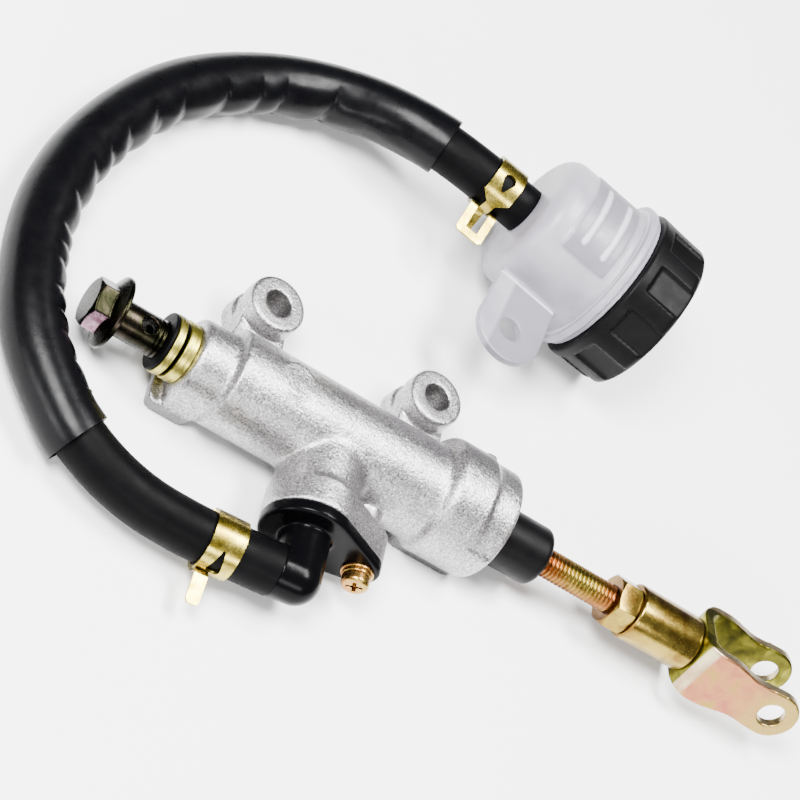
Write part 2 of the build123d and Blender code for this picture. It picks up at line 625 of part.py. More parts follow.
with BuildPart() as clevis_yoke:
    # U-shaped strip seen from its edge
    with BuildSketch(yoke_edge):
        add(yoke_outline(CLEVIS_SHOULDER_X, YOKE_OUT, YOKE_CORNER_R))
        add(
            yoke_outline(CLEVIS_SHOULDER_X + YOKE_STRIP, YOKE_GAP_HALF, YOKE_CORNER_R - YOKE_STRIP),
            mode=Mode.SUBTRACT,
        )
    extrude(amount=YOKE_HALF_WIDTH + 1, both=True)
    # seen from the pin: full width at the barrel, narrowing in an S to the round eye
    with BuildSketch(yoke_side):
        with BuildLine():
            for side in (-1, 1):
                Line((CLEVIS_SHOULDER_X - 1, side * (YOKE_HALF_WIDTH - 0.6)), (119.0, side * YOKE_HALF_WIDTH))
                Spline(
                    (119.0, side * YOKE_HALF_WIDTH),
                    (126.0, side * (YOKE_HALF_WIDTH - 0.15)),
                    (134.5, side * (YOKE_EYE_R - 0.55)),
                    (YOKE_EYE_X, side * YOKE_EYE_R),
                    tangents=[(1, side * 0.02), (1, 0)],
                )
            ThreePointArc(
                (YOKE_EYE_X, YOKE_EYE_R), (YOKE_EYE_X + YOKE_EYE_R, 0), (YOKE_EYE_X, -YOKE_EYE_R)
            )
            Line(
                (CLEVIS_SHOULDER_X - 1, YOKE_HALF_WIDTH - 0.6),
                (CLEVIS_SHOULDER_X - 1, -YOKE_HALF_WIDTH + 0.6),
            )
        make_face()
    extrude(amount=YOKE_OUT + 1, both=True, mode=Mode.INTERSECT)
    with BuildSketch(yoke_side):
        with Locations((YOKE_EYE_X, 0)):
            Circle(YOKE_HOLE_R)
    extrude(amount=YOKE_OUT + 1, both=True, mode=Mode.SUBTRACT)
    with BuildSketch(bore_plane(CLEVIS_SHOULDER_X)):
        Circle(RIVET_R)
    extrude(amount=YOKE_STRIP, mode=Mode.SUBTRACT)
save(clevis_yoke, "clevis_yoke")

# ---- reservoir --------------------------------------------------------------------------------
def wedge(radius, start, end):
    """A slice of a disc between two angles from +Z, in degrees towards the far side."""
    corners = [(60 * sin(radians(angle)), 60 * cos(radians(angle))) for angle in (start, end)]
    with BuildSketch(mode=Mode.PRIVATE) as slice_of_disc:
        Circle(radius)
        with BuildLine():
            Polyline((0, 0), corners[0], (0, 70), corners[1], close=True)
        make_face(mode=Mode.INTERSECT)
    return slice_of_disc.sketch


with BuildPart() as reservoir:
    with BuildSketch(RESERVOIR_SECTION):
        with BuildLine():
            Polyline((-BOTTLE_LENGTH, 0), (-BOTTLE_LENGTH, BOTTLE_R - 5))
            RadiusArc((-BOTTLE_LENGTH, BOTTLE_R - 5), (-BOTTLE_LENGTH + 5, BOTTLE_R), 5)
            Polyline(
                (-BOTTLE_LENGTH + 5, BOTTLE_R),
                (RING_START, BOTTLE_R + 0.3),
                (RING_START, RING_R),
                (RING_END, RING_R),
                (RING_END, COLLAR_R),
                (CAP_START - 0.2, COLLAR_R),
                (CAP_START - 0.2, NECK_R),
                (NECK_END, NECK_R),
                (NECK_END, 0),
                (-BOTTLE_LENGTH, 0),
            )
        make_face()
    revolve(axis=RESERVOIR_AXIS)
    # mounting tab, parallel to the flat back, with its hole across
    tab_plane = Plane(
        origin=RING_CENTRE + RESERVOIR_DIR * TAB_S + Vector(0, 0, TAB_TOP_Z - RING_CENTRE.Z),
        x_dir=RESERVOIR_DIR,
        z_dir=(0, 0, 1),
    )
    with BuildSketch(tab_plane):
        with Locations((0, -TAB_REACH)):
            Circle(TAB_R)
        with BuildLine():
            Polyline(
                (-TAB_R, -TAB_REACH),
                (-TAB_ROOT_HALF, -14),
                (TAB_ROOT_HALF, -14),
                (TAB_R, -TAB_REACH),
                close=True,
            )
        make_face()
    extrude(amount=-TAB_THICKNESS)
    # raised panel that carries the two level marks
    with BuildSketch(reservoir_plane(PANEL_START)):
        add(wedge(BOTTLE_R + PANEL_RISE, PANEL_FROM, PANEL_TO))
    extrude(amount=PANEL_LENGTH)
    for mark_s in LEVEL_MARKS:
        with BuildSketch(reservoir_plane(mark_s)):
            add(wedge(BOTTLE_R + PANEL_RISE + 0.35, PANEL_FROM + 10, PANEL_TO - 12))
        extrude(amount=0.7)
    # spigot collar and spigot
    with BuildSketch(reservoir_plane(HOSE_END_S)):
        Circle(SPIGOT_COLLAR_R)
    extrude(amount=-BOTTLE_LENGTH - HOSE_END_S)
    with BuildSketch(reservoir_plane(HOSE_END_S)):
        Circle(BARB_R)
    extrude(amount=-SPIGOT_LENGTH)
    # inside of the bottle, open at the neck, and the way out through the spigot
    with BuildSketch(RESERVOIR_SECTION):
        with BuildLine():
            inner = BOTTLE_R - BOTTLE_WALL
            Polyline((-BOTTLE_LENGTH + BOTTLE_WALL, 0), (-BOTTLE_LENGTH + BOTTLE_WALL, inner - 3.5))
            RadiusArc(
                (-BOTTLE_LENGTH + BOTTLE_WALL, inner - 3.5), (-BOTTLE_LENGTH + BOTTLE_WALL + 3.5, inner), 3.5
            )
            Polyline(
                (-BOTTLE_LENGTH + BOTTLE_WALL + 3.5, inner),
                (NECK_END + 1, inner),
                (NECK_END + 1, 0),
                (-BOTTLE_LENGTH + BOTTLE_WALL, 0),
            )
        make_face()
    revolve(axis=RESERVOIR_AXIS, mode=Mode.SUBTRACT)
    with BuildSketch(reservoir_plane(-BOTTLE_LENGTH + BOTTLE_WALL + 1)):
        Circle(FLUID_R)
    extrude(amount=-SPIGOT_LENGTH - 8, mode=Mode.SUBTRACT)
    with BuildSketch(tab_plane):
        with Locations((0, -TAB_REACH)):
            Circle(TAB_HOLE_R)
    extrude(amount=-TAB_THICKNESS, mode=Mode.SUBTRACT)
save(reservoir, "reservoir")

DIAPHRAGM_RIM, PLATE_THICKNESS = 1.2, 1.2
with BuildPart() as diaphragm:
    with BuildSketch(RESERVOIR_SECTION):
        with BuildLine():
            Polyline(
                (NECK_END, 15.0),
                (NECK_END, NECK_R - 0.3),
                (NECK_END + DIAPHRAGM_RIM, NECK_R - 0.3),
                (NECK_END + DIAPHRAGM_RIM, 14.0),
                (4.6, 14.0),
                (4.6, 10.0),
                (9.0, 10.0),
                (9.0, 6.0),
                (4.6, 6.0),
                (4.6, 0),
                (3.6, 0),
                (3.6, 7.0),
                (8.0, 7.0),
                (8.0, 9.0),
                (3.6, 9.0),
                (3.6, 15.0),
                close=True,
            )
        make_face()
    revolve(axis=RESERVOIR_AXIS)
save(diaphragm, "diaphragm")

PLATE_S = NECK_END + DIAPHRAGM_RIM + 0.05
with BuildPart() as diaphragm_plate:
    with BuildSketch(reservoir_plane(PLATE_S)):
        Circle(NECK_R - 0.3)
        Circle(3.0, mode=Mode.SUBTRACT)
    extrude(amount=PLATE_THICKNESS)
save(diaphragm_plate, "diaphragm_plate")

CAP_ROOF_S = PLATE_S + PLATE_THICKNESS + 0.05
with BuildPart() as reservoir_cap:
    with BuildSketch(RESERVOIR_SECTION):
        with BuildLine():
            Polyline(
                (CAP_START, NECK_R + 0.35),
                (CAP_START, CAP_R - 0.5),
                (CAP_START + 0.5, CAP_R),
                (CAP_END - 2.6, CAP_R - 0.3),
            )
            RadiusArc((CAP_END - 2.6, CAP_R - 0.3), (CAP_END, CAP_R - 2.9), 2.6)
            Polyline(
                (CAP_END, CAP_R - 2.9),
                (CAP_END, CAP_R - 6.0),
                (CAP_END - 0.6, CAP_R - 6.6),
                (CAP_END - 0.6, 0),
                (CAP_ROOF_S, 0),
                (CAP_ROOF_S, NECK_R + 0.35),
                (CAP_START, NECK_R + 0.35),
            )
        make_face()
    revolve(axis=RESERVOIR_AXIS)
    # recessed grips round the side
    with BuildSketch(reservoir_plane(CAP_START + 3.6)):
        with PolarLocations(CAP_R, CAP_GRIPS, start_angle=6):
            Rectangle(2 * GRIP_DEPTH, GRIP_WIDTH)
    extrude(amount=CAP_END - CAP_START, mode=Mode.SUBTRACT)
save(reservoir_cap, "reservoir_cap")

# ---- hose, sleeve and clamps ------------------------------------------------------------------
HOSE_START = CORNER + NIPPLE_DIR * NIPPLE_START
HOSE_FIRST = HOSE_START + NIPPLE_DIR * 21.5
HOSE_END = RING_CENTRE + RESERVOIR_DIR * HOSE_END_S
HOSE_LAST = HOSE_END - RESERVOIR_DIR * 20.7
HOSE_ROUTE = [
    HOSE_START,
    HOSE_FIRST,
    Vector(-50.3, -68.5, 8.4),
    Vector(-69.6, -58.0, 8.3),
    Vector(-83.8, -39.7, 8.3),
    Vector(-88.9, -16.7, 8.3),
    Vector(-87.5, 6.3, 8.3),
    Vector(-79.3, 28.3, 8.3),
    Vector(-66.7, 48.4, 8.3),
    Vector(-48.2, 64.5, 8.8),
    Vector(-26.9, 74.8, 10.9),
    Vector(-5.5, 76.0, 16.4),
    HOSE_LAST,
    HOSE_END,
]


def corner_radii(points):
    """The largest tangent arcs that the runs allow: 0.45 of the shorter run over tan(turn / 2)."""
    radii = []
    for before, here, after in zip(points, points[1:], points[2:]):
        run_in, run_out = here - before, after - here
        turn = radians(run_in.get_angle(run_out))
        radii.append(0.45 * min(run_in.length, run_out.length) / tan(turn / 2))
    return radii


hose_radii = corner_radii(HOSE_ROUTE)
print("hose runs", [round((b - a).length, 1) for a, b in zip(HOSE_ROUTE, HOSE_ROUTE[1:])])
print("hose radii", [round(radius, 1) for radius in hose_radii])
with BuildLine() as hose_path:
    FilletPolyline(*HOSE_ROUTE, radius=hose_radii)

hose_wire = hose_path.wires()[0]
with BuildPart() as hose:
    with BuildSketch(Plane(origin=HOSE_START, z_dir=NIPPLE_DIR)):
        Circle(HOSE_R)
        Circle(HOSE_BORE_R, mode=Mode.SUBTRACT)
    sweep(path=hose_wire)
save(hose, "hose")
hose_section = pi * (HOSE_R**2 - HOSE_BORE_R**2)
print("hose length", round(hose_wire.length, 1), "volume over section x length",
      round(hose.part.volume / (hose_section * hose_wire.length), 4))

path_edges = hose_wire.order_edges()
sleeve_wire = Wire(path_edges[SLEEVE_FIRST_EDGE:SLEEVE_LAST_EDGE])
with BuildPart() as hose_sleeve:
    with BuildSketch(Plane(origin=sleeve_wire @ 0, z_dir=sleeve_wire % 0)):
        Circle(SLEEVE_R)
        Circle(HOSE_R + HOSE_CLEARANCE, mode=Mode.SUBTRACT)
    sweep(path=sleeve_wire)
save(hose_sleeve, "hose_sleeve")
print("sleeve from", sleeve_wire @ 0, "to", sleeve_wire @ 1, "length", round(sleeve_wire.length, 1))


def clamp_plane(distance_from_start, ear):
    """Across the hose at a distance along it; local x points the way the clamp's tab stands."""
    along = distance_from_start / hose_wire.length
    tangent = hose_wire % along
    across = ear - tangent * ear.dot(tangent)
    return Plane(origin=hose_wire @ along, x_dir=across, z_dir=tangent)


CLAMP_IN = HOSE_R + 0.2
CLAMP_OUT = CLAMP_IN + CLAMP_BAND
lower_clamp_at = clamp_plane(LOWER_CLAMP_DISTANCE, Vector(-0.2, -1.0, -0.35))
with BuildPart() as lower_hose_clamp:
    with BuildSketch(lower_clamp_at):
        Circle(CLAMP_OUT)
        Circle(CLAMP_IN, mode=Mode.SUBTRACT)
    extrude(amount=CLAMP_WIDTH / 2, both=True)
    # narrow tang that pliers squeeze
    with BuildSketch(lower_clamp_at.offset(-2.2)):
        with Locations((CLAMP_OUT + 3.6, 0)):
            Rectangle(8.0, 1.0)
    extrude(amount=4.4)
save(lower_hose_clamp, "lower_hose_clamp")

upper_clamp_at = clamp_plane(hose_wire.length - UPPER_CLAMP_DISTANCE, Vector(-0.35, -1.0, -0.25))
with BuildPart() as upper_hose_clamp:
    with BuildSketch(upper_clamp_at):
        Circle(CLAMP_OUT)
        Circle(CLAMP_IN, mode=Mode.SUBTRACT)
    extrude(amount=CLAMP_WIDTH / 2, both=True)
    # wide windowed tab that pliers squeeze
    with BuildSketch(upper_clamp_at.offset(-CLAMP_WIDTH / 2)):
        with Locations((CLAMP_OUT + 4.6, 0)):
            Rectangle(10.0, 1.0)
    extrude(amount=CLAMP_WIDTH)
    with BuildSketch(upper_clamp_at.offset(-CLAMP_WIDTH / 2 + 2.0)):
        with Locations((CLAMP_OUT + 5.6, 0)):
            Rectangle(5.0, 1.0)
    extrude(amount=CLAMP_WIDTH - 4.0, mode=Mode.SUBTRACT)
save(upper_hose_clamp, "upper_hose_clamp")
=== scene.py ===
"""Looks for a motorcycle rear brake master cylinder with a remote reservoir.

The CAD pieces are replaced by finer meshes in the same places: a cast body, a sleeved hose with two spring
clamps, a frosted reservoir, a threaded pushrod and a clevis. Shapes are worked out in millimetres and made in
metres. Places inside the materials and on the stage are in metres.
"""
import json
import math

import bmesh
import bpy
import numpy as np
from mathutils import Matrix, Vector, geometry, noise


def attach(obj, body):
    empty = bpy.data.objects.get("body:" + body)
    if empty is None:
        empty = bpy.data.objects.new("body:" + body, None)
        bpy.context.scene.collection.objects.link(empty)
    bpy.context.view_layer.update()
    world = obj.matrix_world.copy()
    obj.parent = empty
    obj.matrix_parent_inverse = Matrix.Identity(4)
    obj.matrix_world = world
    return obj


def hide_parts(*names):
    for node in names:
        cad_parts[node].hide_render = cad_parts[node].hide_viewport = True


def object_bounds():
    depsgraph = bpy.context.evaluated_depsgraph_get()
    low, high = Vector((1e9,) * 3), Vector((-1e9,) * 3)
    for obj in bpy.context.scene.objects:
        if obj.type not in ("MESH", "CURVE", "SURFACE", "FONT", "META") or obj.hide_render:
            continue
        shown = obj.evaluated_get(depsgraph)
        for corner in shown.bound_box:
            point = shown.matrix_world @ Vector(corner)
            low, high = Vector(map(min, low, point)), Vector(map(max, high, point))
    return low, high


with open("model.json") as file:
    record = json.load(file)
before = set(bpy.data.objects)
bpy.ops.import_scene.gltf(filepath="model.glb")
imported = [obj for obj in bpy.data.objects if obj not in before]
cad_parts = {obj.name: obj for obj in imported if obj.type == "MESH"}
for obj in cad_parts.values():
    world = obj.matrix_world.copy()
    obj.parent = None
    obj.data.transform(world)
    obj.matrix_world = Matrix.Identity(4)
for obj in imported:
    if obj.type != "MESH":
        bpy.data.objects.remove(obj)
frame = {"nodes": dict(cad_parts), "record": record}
cad_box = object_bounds()
nodes = frame["nodes"]
body_of = {n: body for body, members in frame["record"]["behaviour"]["bodies"].items() for n in members}
MM = 0.001

# the CAD's own places, in millimetres
BORE_Y, BORE_Z = -27.4, 12.5
EAR_X, EAR_HOLE_R = 25.0, 3.7
SHADE_EDGE_Y, SHADE_EDGE_Z = -33.0, 4.2  # painted shade: past both the casting's colour is darkened for the shade on its downward-turned underside
INLET_X, INLET_FACE_Y = -1.5, -54.7
SCREW_X, SCREW_Z = 15.5, 11.0
CORNER = Vector((INLET_X, -70.2, BORE_Z))  # where the elbow turns
NIPPLE_TILT, RESERVOIR_TURN, PIN_TILT = (math.radians(a) for a in (8, 12, 18))
NIPPLE_DIR = Vector((-math.cos(NIPPLE_TILT), 0, -math.sin(NIPPLE_TILT)))
RING_CENTRE = Vector((62.0, 58.5, 23.7))
RESERVOIR_DIR = Vector((math.cos(RESERVOIR_TURN), -math.sin(RESERVOIR_TURN), 0))
PIN_DIR = Vector((0, -math.cos(PIN_TILT), math.sin(PIN_TILT)))
HOSE_R, SLEEVE_R = 6.8, 8.05
PITCH = 1.25  # of the pushrod's and the banjo bolt's threads
HOSE_START = CORNER + NIPPLE_DIR * 5.6
HOSE_END = RING_CENTRE - RESERVOIR_DIR * 28.5
HOSE_ROUTE = [
    HOSE_START,
    HOSE_START + NIPPLE_DIR * 21.5,
    Vector((-50.3, -68.5, 8.4)),
    Vector((-69.6, -58.0, 8.3)),
    Vector((-83.8, -39.7, 8.3)),
    Vector((-88.9, -16.7, 8.3)),
    Vector((-87.5, 6.3, 8.3)),
    Vector((-79.3, 28.3, 8.3)),
    Vector((-66.7, 48.4, 8.3)),
    Vector((-48.2, 64.5, 8.8)),
    Vector((-26.9, 74.8, 10.9)),
    Vector((-5.5, 76.0, 16.4)),
    HOSE_END - RESERVOIR_DIR * 20.7,
    HOSE_END,
]
HOSE_LENGTH = 292.8


# ---- materials ---------------------------------------------------------------------------------
class Look:
    """A principled material and short calls for its procedural nodes."""

    def __init__(self, name, **inputs):
        self.material = bpy.data.materials.new(name)
        self.material.use_nodes = True
        self.tree = self.material.node_tree
        self.shader = self.tree.nodes["Principled BSDF"]
        for key, value in inputs.items():
            self.shader.inputs[key.replace("_", " ")].default_value = value
        coords = self.tree.nodes.new("ShaderNodeTexCoord")
        self.place = coords.outputs["Object"]
        self.normal = coords.outputs["Normal"]

    def link(self, out, socket):
        self.tree.links.new(out, socket)

    def noise(self, size_mm, detail=3.0, rough=0.55, distortion=0.0):
        node = self.tree.nodes.new("ShaderNodeTexNoise")
        node.inputs["Scale"].default_value = 1.0 / (size_mm * MM)
        node.inputs["Detail"].default_value = detail
        node.inputs["Roughness"].default_value = rough
        node.inputs["Distortion"].default_value = distortion
        self.link(self.place, node.inputs["Vector"])
        return node.outputs["Fac"]

    def ramp(self, fac, *stops):
        node = self.tree.nodes.new("ShaderNodeValToRGB")
        ends = node.color_ramp.elements
        while len(ends) < len(stops):
            ends.new(0.5)
        for end, (position, colour) in zip(ends, stops):
            end.position = position
            level = (colour,) * 3 if isinstance(colour, (int, float)) else colour
            end.color = (*level, 1)
        self.link(fac, node.inputs["Fac"])
        return node.outputs["Color"]

    def spread(self, fac, low, high, to_low=0.0, to_high=1.0):
        """The value moved from the range low to high onto to_low to to_high, and kept inside it."""
        node = self.tree.nodes.new("ShaderNodeMapRange")
        for key, value in zip(("From Min", "From Max", "To Min", "To Max"), (low, high, to_low, to_high)):
            node.inputs[key].default_value = value
        self.link(fac, node.inputs["Value"])
        return node.outputs["Result"]

    def maths(self, operation, a, b):
        node = self.tree.nodes.new("ShaderNodeMath")
        node.operation = operation
        for socket, value in zip(node.inputs, (a, b)):
            if isinstance(value, (int, float)):
                socket.default_value = value
            else:
                self.link(value, socket)
        return node.outputs["Value"]

    def axis(self, vector, index):
        node = self.tree.nodes.new("ShaderNodeSeparateXYZ")
        self.link(vector, node.inputs["Vector"])
        return node.outputs[index]

    def dot(self, vector, direction):
        node = self.tree.nodes.new("ShaderNodeVectorMath")
        node.operation = "DOT_PRODUCT"
        self.link(vector, node.inputs[0])
        node.inputs[1].default_value = direction
        return node.outputs["Value"]

    def mix(self, fac, a, b, blend="MIX"):
        node = self.tree.nodes.new("ShaderNodeMix")
        node.data_type = "RGBA"
        node.blend_type = blend
        sockets = [s for s in node.inputs if s.name in ("Factor", "A", "B") and s.type in ("RGBA", "VALUE")]
        factor = next(s for s in sockets if s.name == "Factor" and s.type == "VALUE")
        side_a = next(s for s in sockets if s.name == "A" and s.type == "RGBA")
        side_b = next(s for s in sockets if s.name == "B" and s.type == "RGBA")
        for socket, value in ((factor, fac), (side_a, a), (side_b, b)):
            if isinstance(value, (int, float)):
                socket.default_value = value
            elif isinstance(value, tuple):
                socket.default_value = (*value, 1)
            else:
                self.link(value, socket)
        return next(s for s in node.outputs if s.type == "RGBA")

    def colour(self, out):
        self.link(out, self.shader.inputs["Base Color"])

    def roughness(self, fac, low, high):
        self.link(self.spread(fac, 0.25, 0.75, low, high), self.shader.inputs["Roughness"])

    def bump(self, *layers):
        """Height layers (socket, distance in mm, strength), the coarsest first."""
        below = None
        for height, distance, strength in layers:
            node = self.tree.nodes.new("ShaderNodeBump")
            node.inputs["Distance"].default_value = distance * MM
            node.inputs["Strength"].default_value = strength
            self.link(height, node.inputs["Height"])
            if below:
                self.link(below, node.inputs["Normal"])
            below = node.outputs["Normal"]
        self.link(below, self.shader.inputs["Normal"])


def cast_aluminium():
    """Blasted casting: granular, a little stained, with painted shade: darker below its parting line on the
    -Y side, where the underside turns down from the light.
    """
    look = Look("cast_aluminium", Metallic=1.0, Roughness=0.5)
    grain = look.noise(0.5, 4, 0.75)
    lumps = look.noise(2.6, 3, 0.55)
    stain = look.noise(11.0, 3, 0.6)
    base = look.ramp(
        grain, (0.32, (0.12, 0.117, 0.12)), (0.5, (0.36, 0.352, 0.356)), (0.66, (0.82, 0.81, 0.81))
    )
    tint = look.ramp(stain, (0.3, (0.78, 0.77, 0.78)), (0.7, (1.0, 0.99, 0.975)))
    # painted shade: below the parting line on the -Y side the colour is darkened, standing in for the shade
    # on the downward-turned underside
    low = look.spread(look.axis(look.place, 2), (SHADE_EDGE_Z + 0.4) * MM, (SHADE_EDGE_Z - 0.4) * MM)
    side = look.spread(look.axis(look.place, 1), (SHADE_EDGE_Y + 0.5) * MM, (SHADE_EDGE_Y - 0.5) * MM)
    painted_underside_shade = look.maths("MULTIPLY", low, look.maths("MULTIPLY", side, 0.7))
    base = look.mix(painted_underside_shade, base, (0.075, 0.072, 0.078))
    look.colour(look.mix(1.0, base, tint, "MULTIPLY"))
    look.roughness(grain, 0.28, 0.44)
    look.bump((lumps, 0.5, 0.35), (look.noise(1.0, 2, 0.5), 0.16, 0.55), (grain, 0.14, 0.6))
    return look.material


def plated(name, low, middle, high, roughness, patch_mm):
    """Zinc plating whose passivated film drifts between three colours, with painted light: faces turned
    towards the front lamp are pushed towards the paler colour.
    """
    look = Look(name, Metallic=1.0, Roughness=0.26)
    drift = look.noise(patch_mm, 2, 0.5, 0.6)
    # painted light: faces turned towards the front lamp get a paler film colour
    facing = look.dot(look.normal, (0.15, -0.75, 0.45))
    film_and_painted_light = look.maths("ADD", look.maths("MULTIPLY", drift, 0.75), look.maths("MULTIPLY", facing, 0.22))
    film = look.ramp(film_and_painted_light, (0.22, low), (0.42, middle), (0.62, high))
    scuff = look.noise(0.5, 4, 0.7)
    look.colour(look.mix(1.0, film, look.ramp(scuff, (0.3, 0.8), (0.7, 1.0)), "MULTIPLY"))
    look.roughness(scuff, *roughness)
    look.bump((look.noise(2.4, 2, 0.5), 0.06, 0.25), (look.noise(0.35, 3, 0.6), 0.02, 0.35))
    return look.material


def phosphate():
    """Dark olive plating; the head's side flat facing -Y is painted bright pink: the film's iridescent sheen,
    painted on that one flat only.
    """
    look = Look("dark_phosphate", Metallic=1.0, Roughness=0.3)
    drift = look.noise(5.0, 3, 0.6, 0.5)
    film = look.ramp(
        drift, (0.3, (0.004, 0.0045, 0.002)), (0.52, (0.012, 0.011, 0.006)), (0.74, (0.035, 0.025, 0.02))
    )
    scuff = look.noise(0.45, 4, 0.7)
    film = look.mix(1.0, film, look.ramp(scuff, (0.3, 0.7), (0.7, 1.0)), "MULTIPLY")
    # painted sheen: the flat facing -Y near the head gets the film's bright pink iridescence, the other flats
    # none
    flat = look.spread(look.dot(look.normal, (0, -0.985, 0.174)), 0.95, 0.985)
    head = look.spread(look.axis(look.place, 0), -0.0672, -0.0682)
    painted_pink_sheen = look.ramp(look.noise(2.2, 3, 0.6, 0.4), (0.35, (0.3, 0.13, 0.19)), (0.62, (0.8, 0.48, 0.62)))
    look.colour(look.mix(look.maths("MULTIPLY", flat, head), film, painted_pink_sheen))
    look.roughness(scuff, 0.2, 0.34)
    look.bump((look.noise(1.6, 3, 0.55), 0.1, 0.35), (scuff, 0.03, 0.4))
    return look.material


def yoke_plating():
    """Pressed strip: pink copper outside, olive yellow inside the fork and bright along the cut edges."""
    look = Look("yoke_plating", Metallic=1.0, Roughness=0.3)
    across = look.dot(look.place, tuple(PIN_DIR))
    centre = PIN_DIR.dot(Vector((0, BORE_Y, BORE_Z))) * MM
    off = look.maths("ABSOLUTE", look.maths("SUBTRACT", across, centre), 0.0)
    drift = look.noise(6.0, 2, 0.5, 0.6)
    outside = look.ramp(
        drift, (0.3, (0.34, 0.25, 0.04)), (0.46, (0.46, 0.2, 0.08)), (0.66, (0.38, 0.12, 0.08))
    )
    inside = look.ramp(
        drift, (0.3, (0.045, 0.04, 0.006)), (0.52, (0.13, 0.12, 0.014)), (0.7, (0.34, 0.31, 0.04))
    )
    edge = look.ramp(drift, (0.3, (0.34, 0.22, 0.12)), (0.7, (0.6, 0.5, 0.3)))
    skin = look.mix(look.spread(off, 0.00735, 0.0076), inside, edge)
    outer = look.spread(off, 0.0092, 0.0095)
    skin = look.mix(outer, skin, outside)
    eye = look.spread(look.axis(look.place, 0), 0.132, 0.143, 0.0, 0.75)
    skin = look.mix(look.maths("MULTIPLY", eye, outer), skin, (0.4, 0.32, 0.08))
    scuff = look.noise(0.5, 4, 0.7)
    look.colour(look.mix(1.0, skin, look.ramp(scuff, (0.3, 0.8), (0.7, 1.0)), "MULTIPLY"))
    look.roughness(scuff, 0.24, 0.38)
    look.bump((look.noise(2.4, 2, 0.5), 0.06, 0.25), (look.noise(0.35, 3, 0.6), 0.02, 0.35))
    return look.material


def thread_plating():
    """Copper plating with a green and yellow stretch in the middle of the rod."""
    look = Look("thread_plating", Metallic=1.0, Roughness=0.3)
    drift = look.noise(3.5, 2, 0.5, 0.6)
    copper = look.ramp(
        drift, (0.3, (0.16, 0.05, 0.012)), (0.5, (0.26, 0.09, 0.025)), (0.7, (0.24, 0.13, 0.025))
    )
    green = look.ramp(drift, (0.3, (0.1, 0.1, 0.012)), (0.6, (0.24, 0.19, 0.035)))
    along = look.axis(look.place, 0)
    middle = look.maths("MULTIPLY", look.spread(along, 0.068, 0.075), look.spread(along, 0.088, 0.081))
    top = look.spread(look.dot(look.normal, (0, -0.3, 0.95)), -0.2, 0.8)
    look.colour(look.mix(look.maths("MULTIPLY", middle, top), copper, green))
    look.roughness(look.noise(0.5, 4, 0.7), 0.22, 0.36)
    look.bump((look.noise(0.4, 3, 0.6), 0.02, 0.4))
    return look.material


def rubber(name, colour, roughness, grain_mm, grain, haze, wave, shine):
    """Black rubber or vinyl: fine grain, dusty haze and slow unevenness."""
    look = Look(name, Specular_IOR_Level=shine)
    dust = look.noise(9.0, 4, 0.6)
    fine = look.noise(grain_mm, 3, 0.6)
    dusty = tuple(2.0 * c + 0.001 for c in colour)
    look.colour(look.mix(look.spread(dust, 0.45, 0.8, 0.0, haze), colour, dusty))
    look.roughness(look.noise(4.0, 3, 0.6), *roughness)
    layers = [(fine, grain, 0.5)]
    if wave:
        layers.insert(0, (look.noise(6.0, 2, 0.5), wave, 0.5))
    look.bump(*layers)
    return look.material


def frosted():
    """Natural polythene, darker on the raised level panel and paler on its two lines."""
    look = Look(
        "frosted_polythene",
        Subsurface_Weight=0.35,
        Subsurface_Radius=(1.0, 0.95, 1.1),
        Subsurface_Scale=2.0 * MM,
        IOR=1.45,
        Specular_IOR_Level=0.5,
    )
    cloud = look.noise(11.0, 3, 0.5)
    fine = look.noise(0.6, 4, 0.7)
    skin = look.ramp(cloud, (0.3, (0.22, 0.207, 0.243)), (0.7, (0.31, 0.296, 0.33)))
    radius, s = reservoir_polar(look)
    panel = look.maths("MULTIPLY", look.spread(radius, 0.02055, 0.0207), look.spread(s, -0.0042, -0.0048))
    panel = look.maths("MULTIPLY", panel, look.spread(s, -0.0215, -0.0205))
    skin = look.mix(look.maths("MULTIPLY", panel, 0.75), skin, (0.125, 0.118, 0.142))
    marks = look.maths("MULTIPLY", look.spread(radius, 0.02085, 0.021), look.spread(radius, 0.0218, 0.0214))
    skin = look.mix(look.maths("MULTIPLY", marks, 0.8), skin, (0.5, 0.49, 0.54))
    look.colour(look.mix(1.0, skin, look.ramp(fine, (0.3, 0.93), (0.7, 1.0)), "MULTIPLY"))
    look.roughness(look.noise(2.0, 4, 0.6), 0.3, 0.46)
    look.bump((look.noise(4.0, 2, 0.5), 0.12, 0.45), (fine, 0.035, 0.5))
    return look.material


def reservoir_polar(look):
    """Distance from the reservoir's axis and distance along it, in metres."""
    offset = look.tree.nodes.new("ShaderNodeVectorMath")
    offset.operation = "SUBTRACT"
    look.link(look.place, offset.inputs[0])
    offset.inputs[1].default_value = tuple(RING_CENTRE * MM)
    s = look.dot(offset.outputs["Vector"], tuple(RESERVOIR_DIR))
    length = look.tree.nodes.new("ShaderNodeVectorMath")
    length.operation = "LENGTH"
    look.link(offset.outputs["Vector"], length.inputs[0])
    whole = look.maths("POWER", length.outputs["Value"], 2.0)
    return look.maths("SQRT", look.maths("SUBTRACT", whole, look.maths("POWER", s, 2.0)), 0.0), s


def plain_metal(name, colour):
    """Bare turned metal with faint scuffs."""
    look = Look(name, Metallic=1.0)
    scuff = look.noise(0.5, 4, 0.7)
    look.colour(look.mix(1.0, look.ramp(scuff, (0.3, 0.85), (0.7, 1.0)), colour, "MULTIPLY"))
    look.roughness(scuff, 0.24, 0.4)
    look.bump((scuff, 0.02, 0.4))
    return look.material


def white_plastic():
    look = Look("white_plastic", Specular_IOR_Level=0.5)
    look.colour(look.ramp(look.noise(6.0), (0.3, (0.74, 0.74, 0.72)), (0.7, (0.82, 0.82, 0.8))))
    look.roughness(look.noise(2.0), 0.34, 0.5)
    look.bump((look.noise(0.5), 0.02, 0.4))
    return look.material


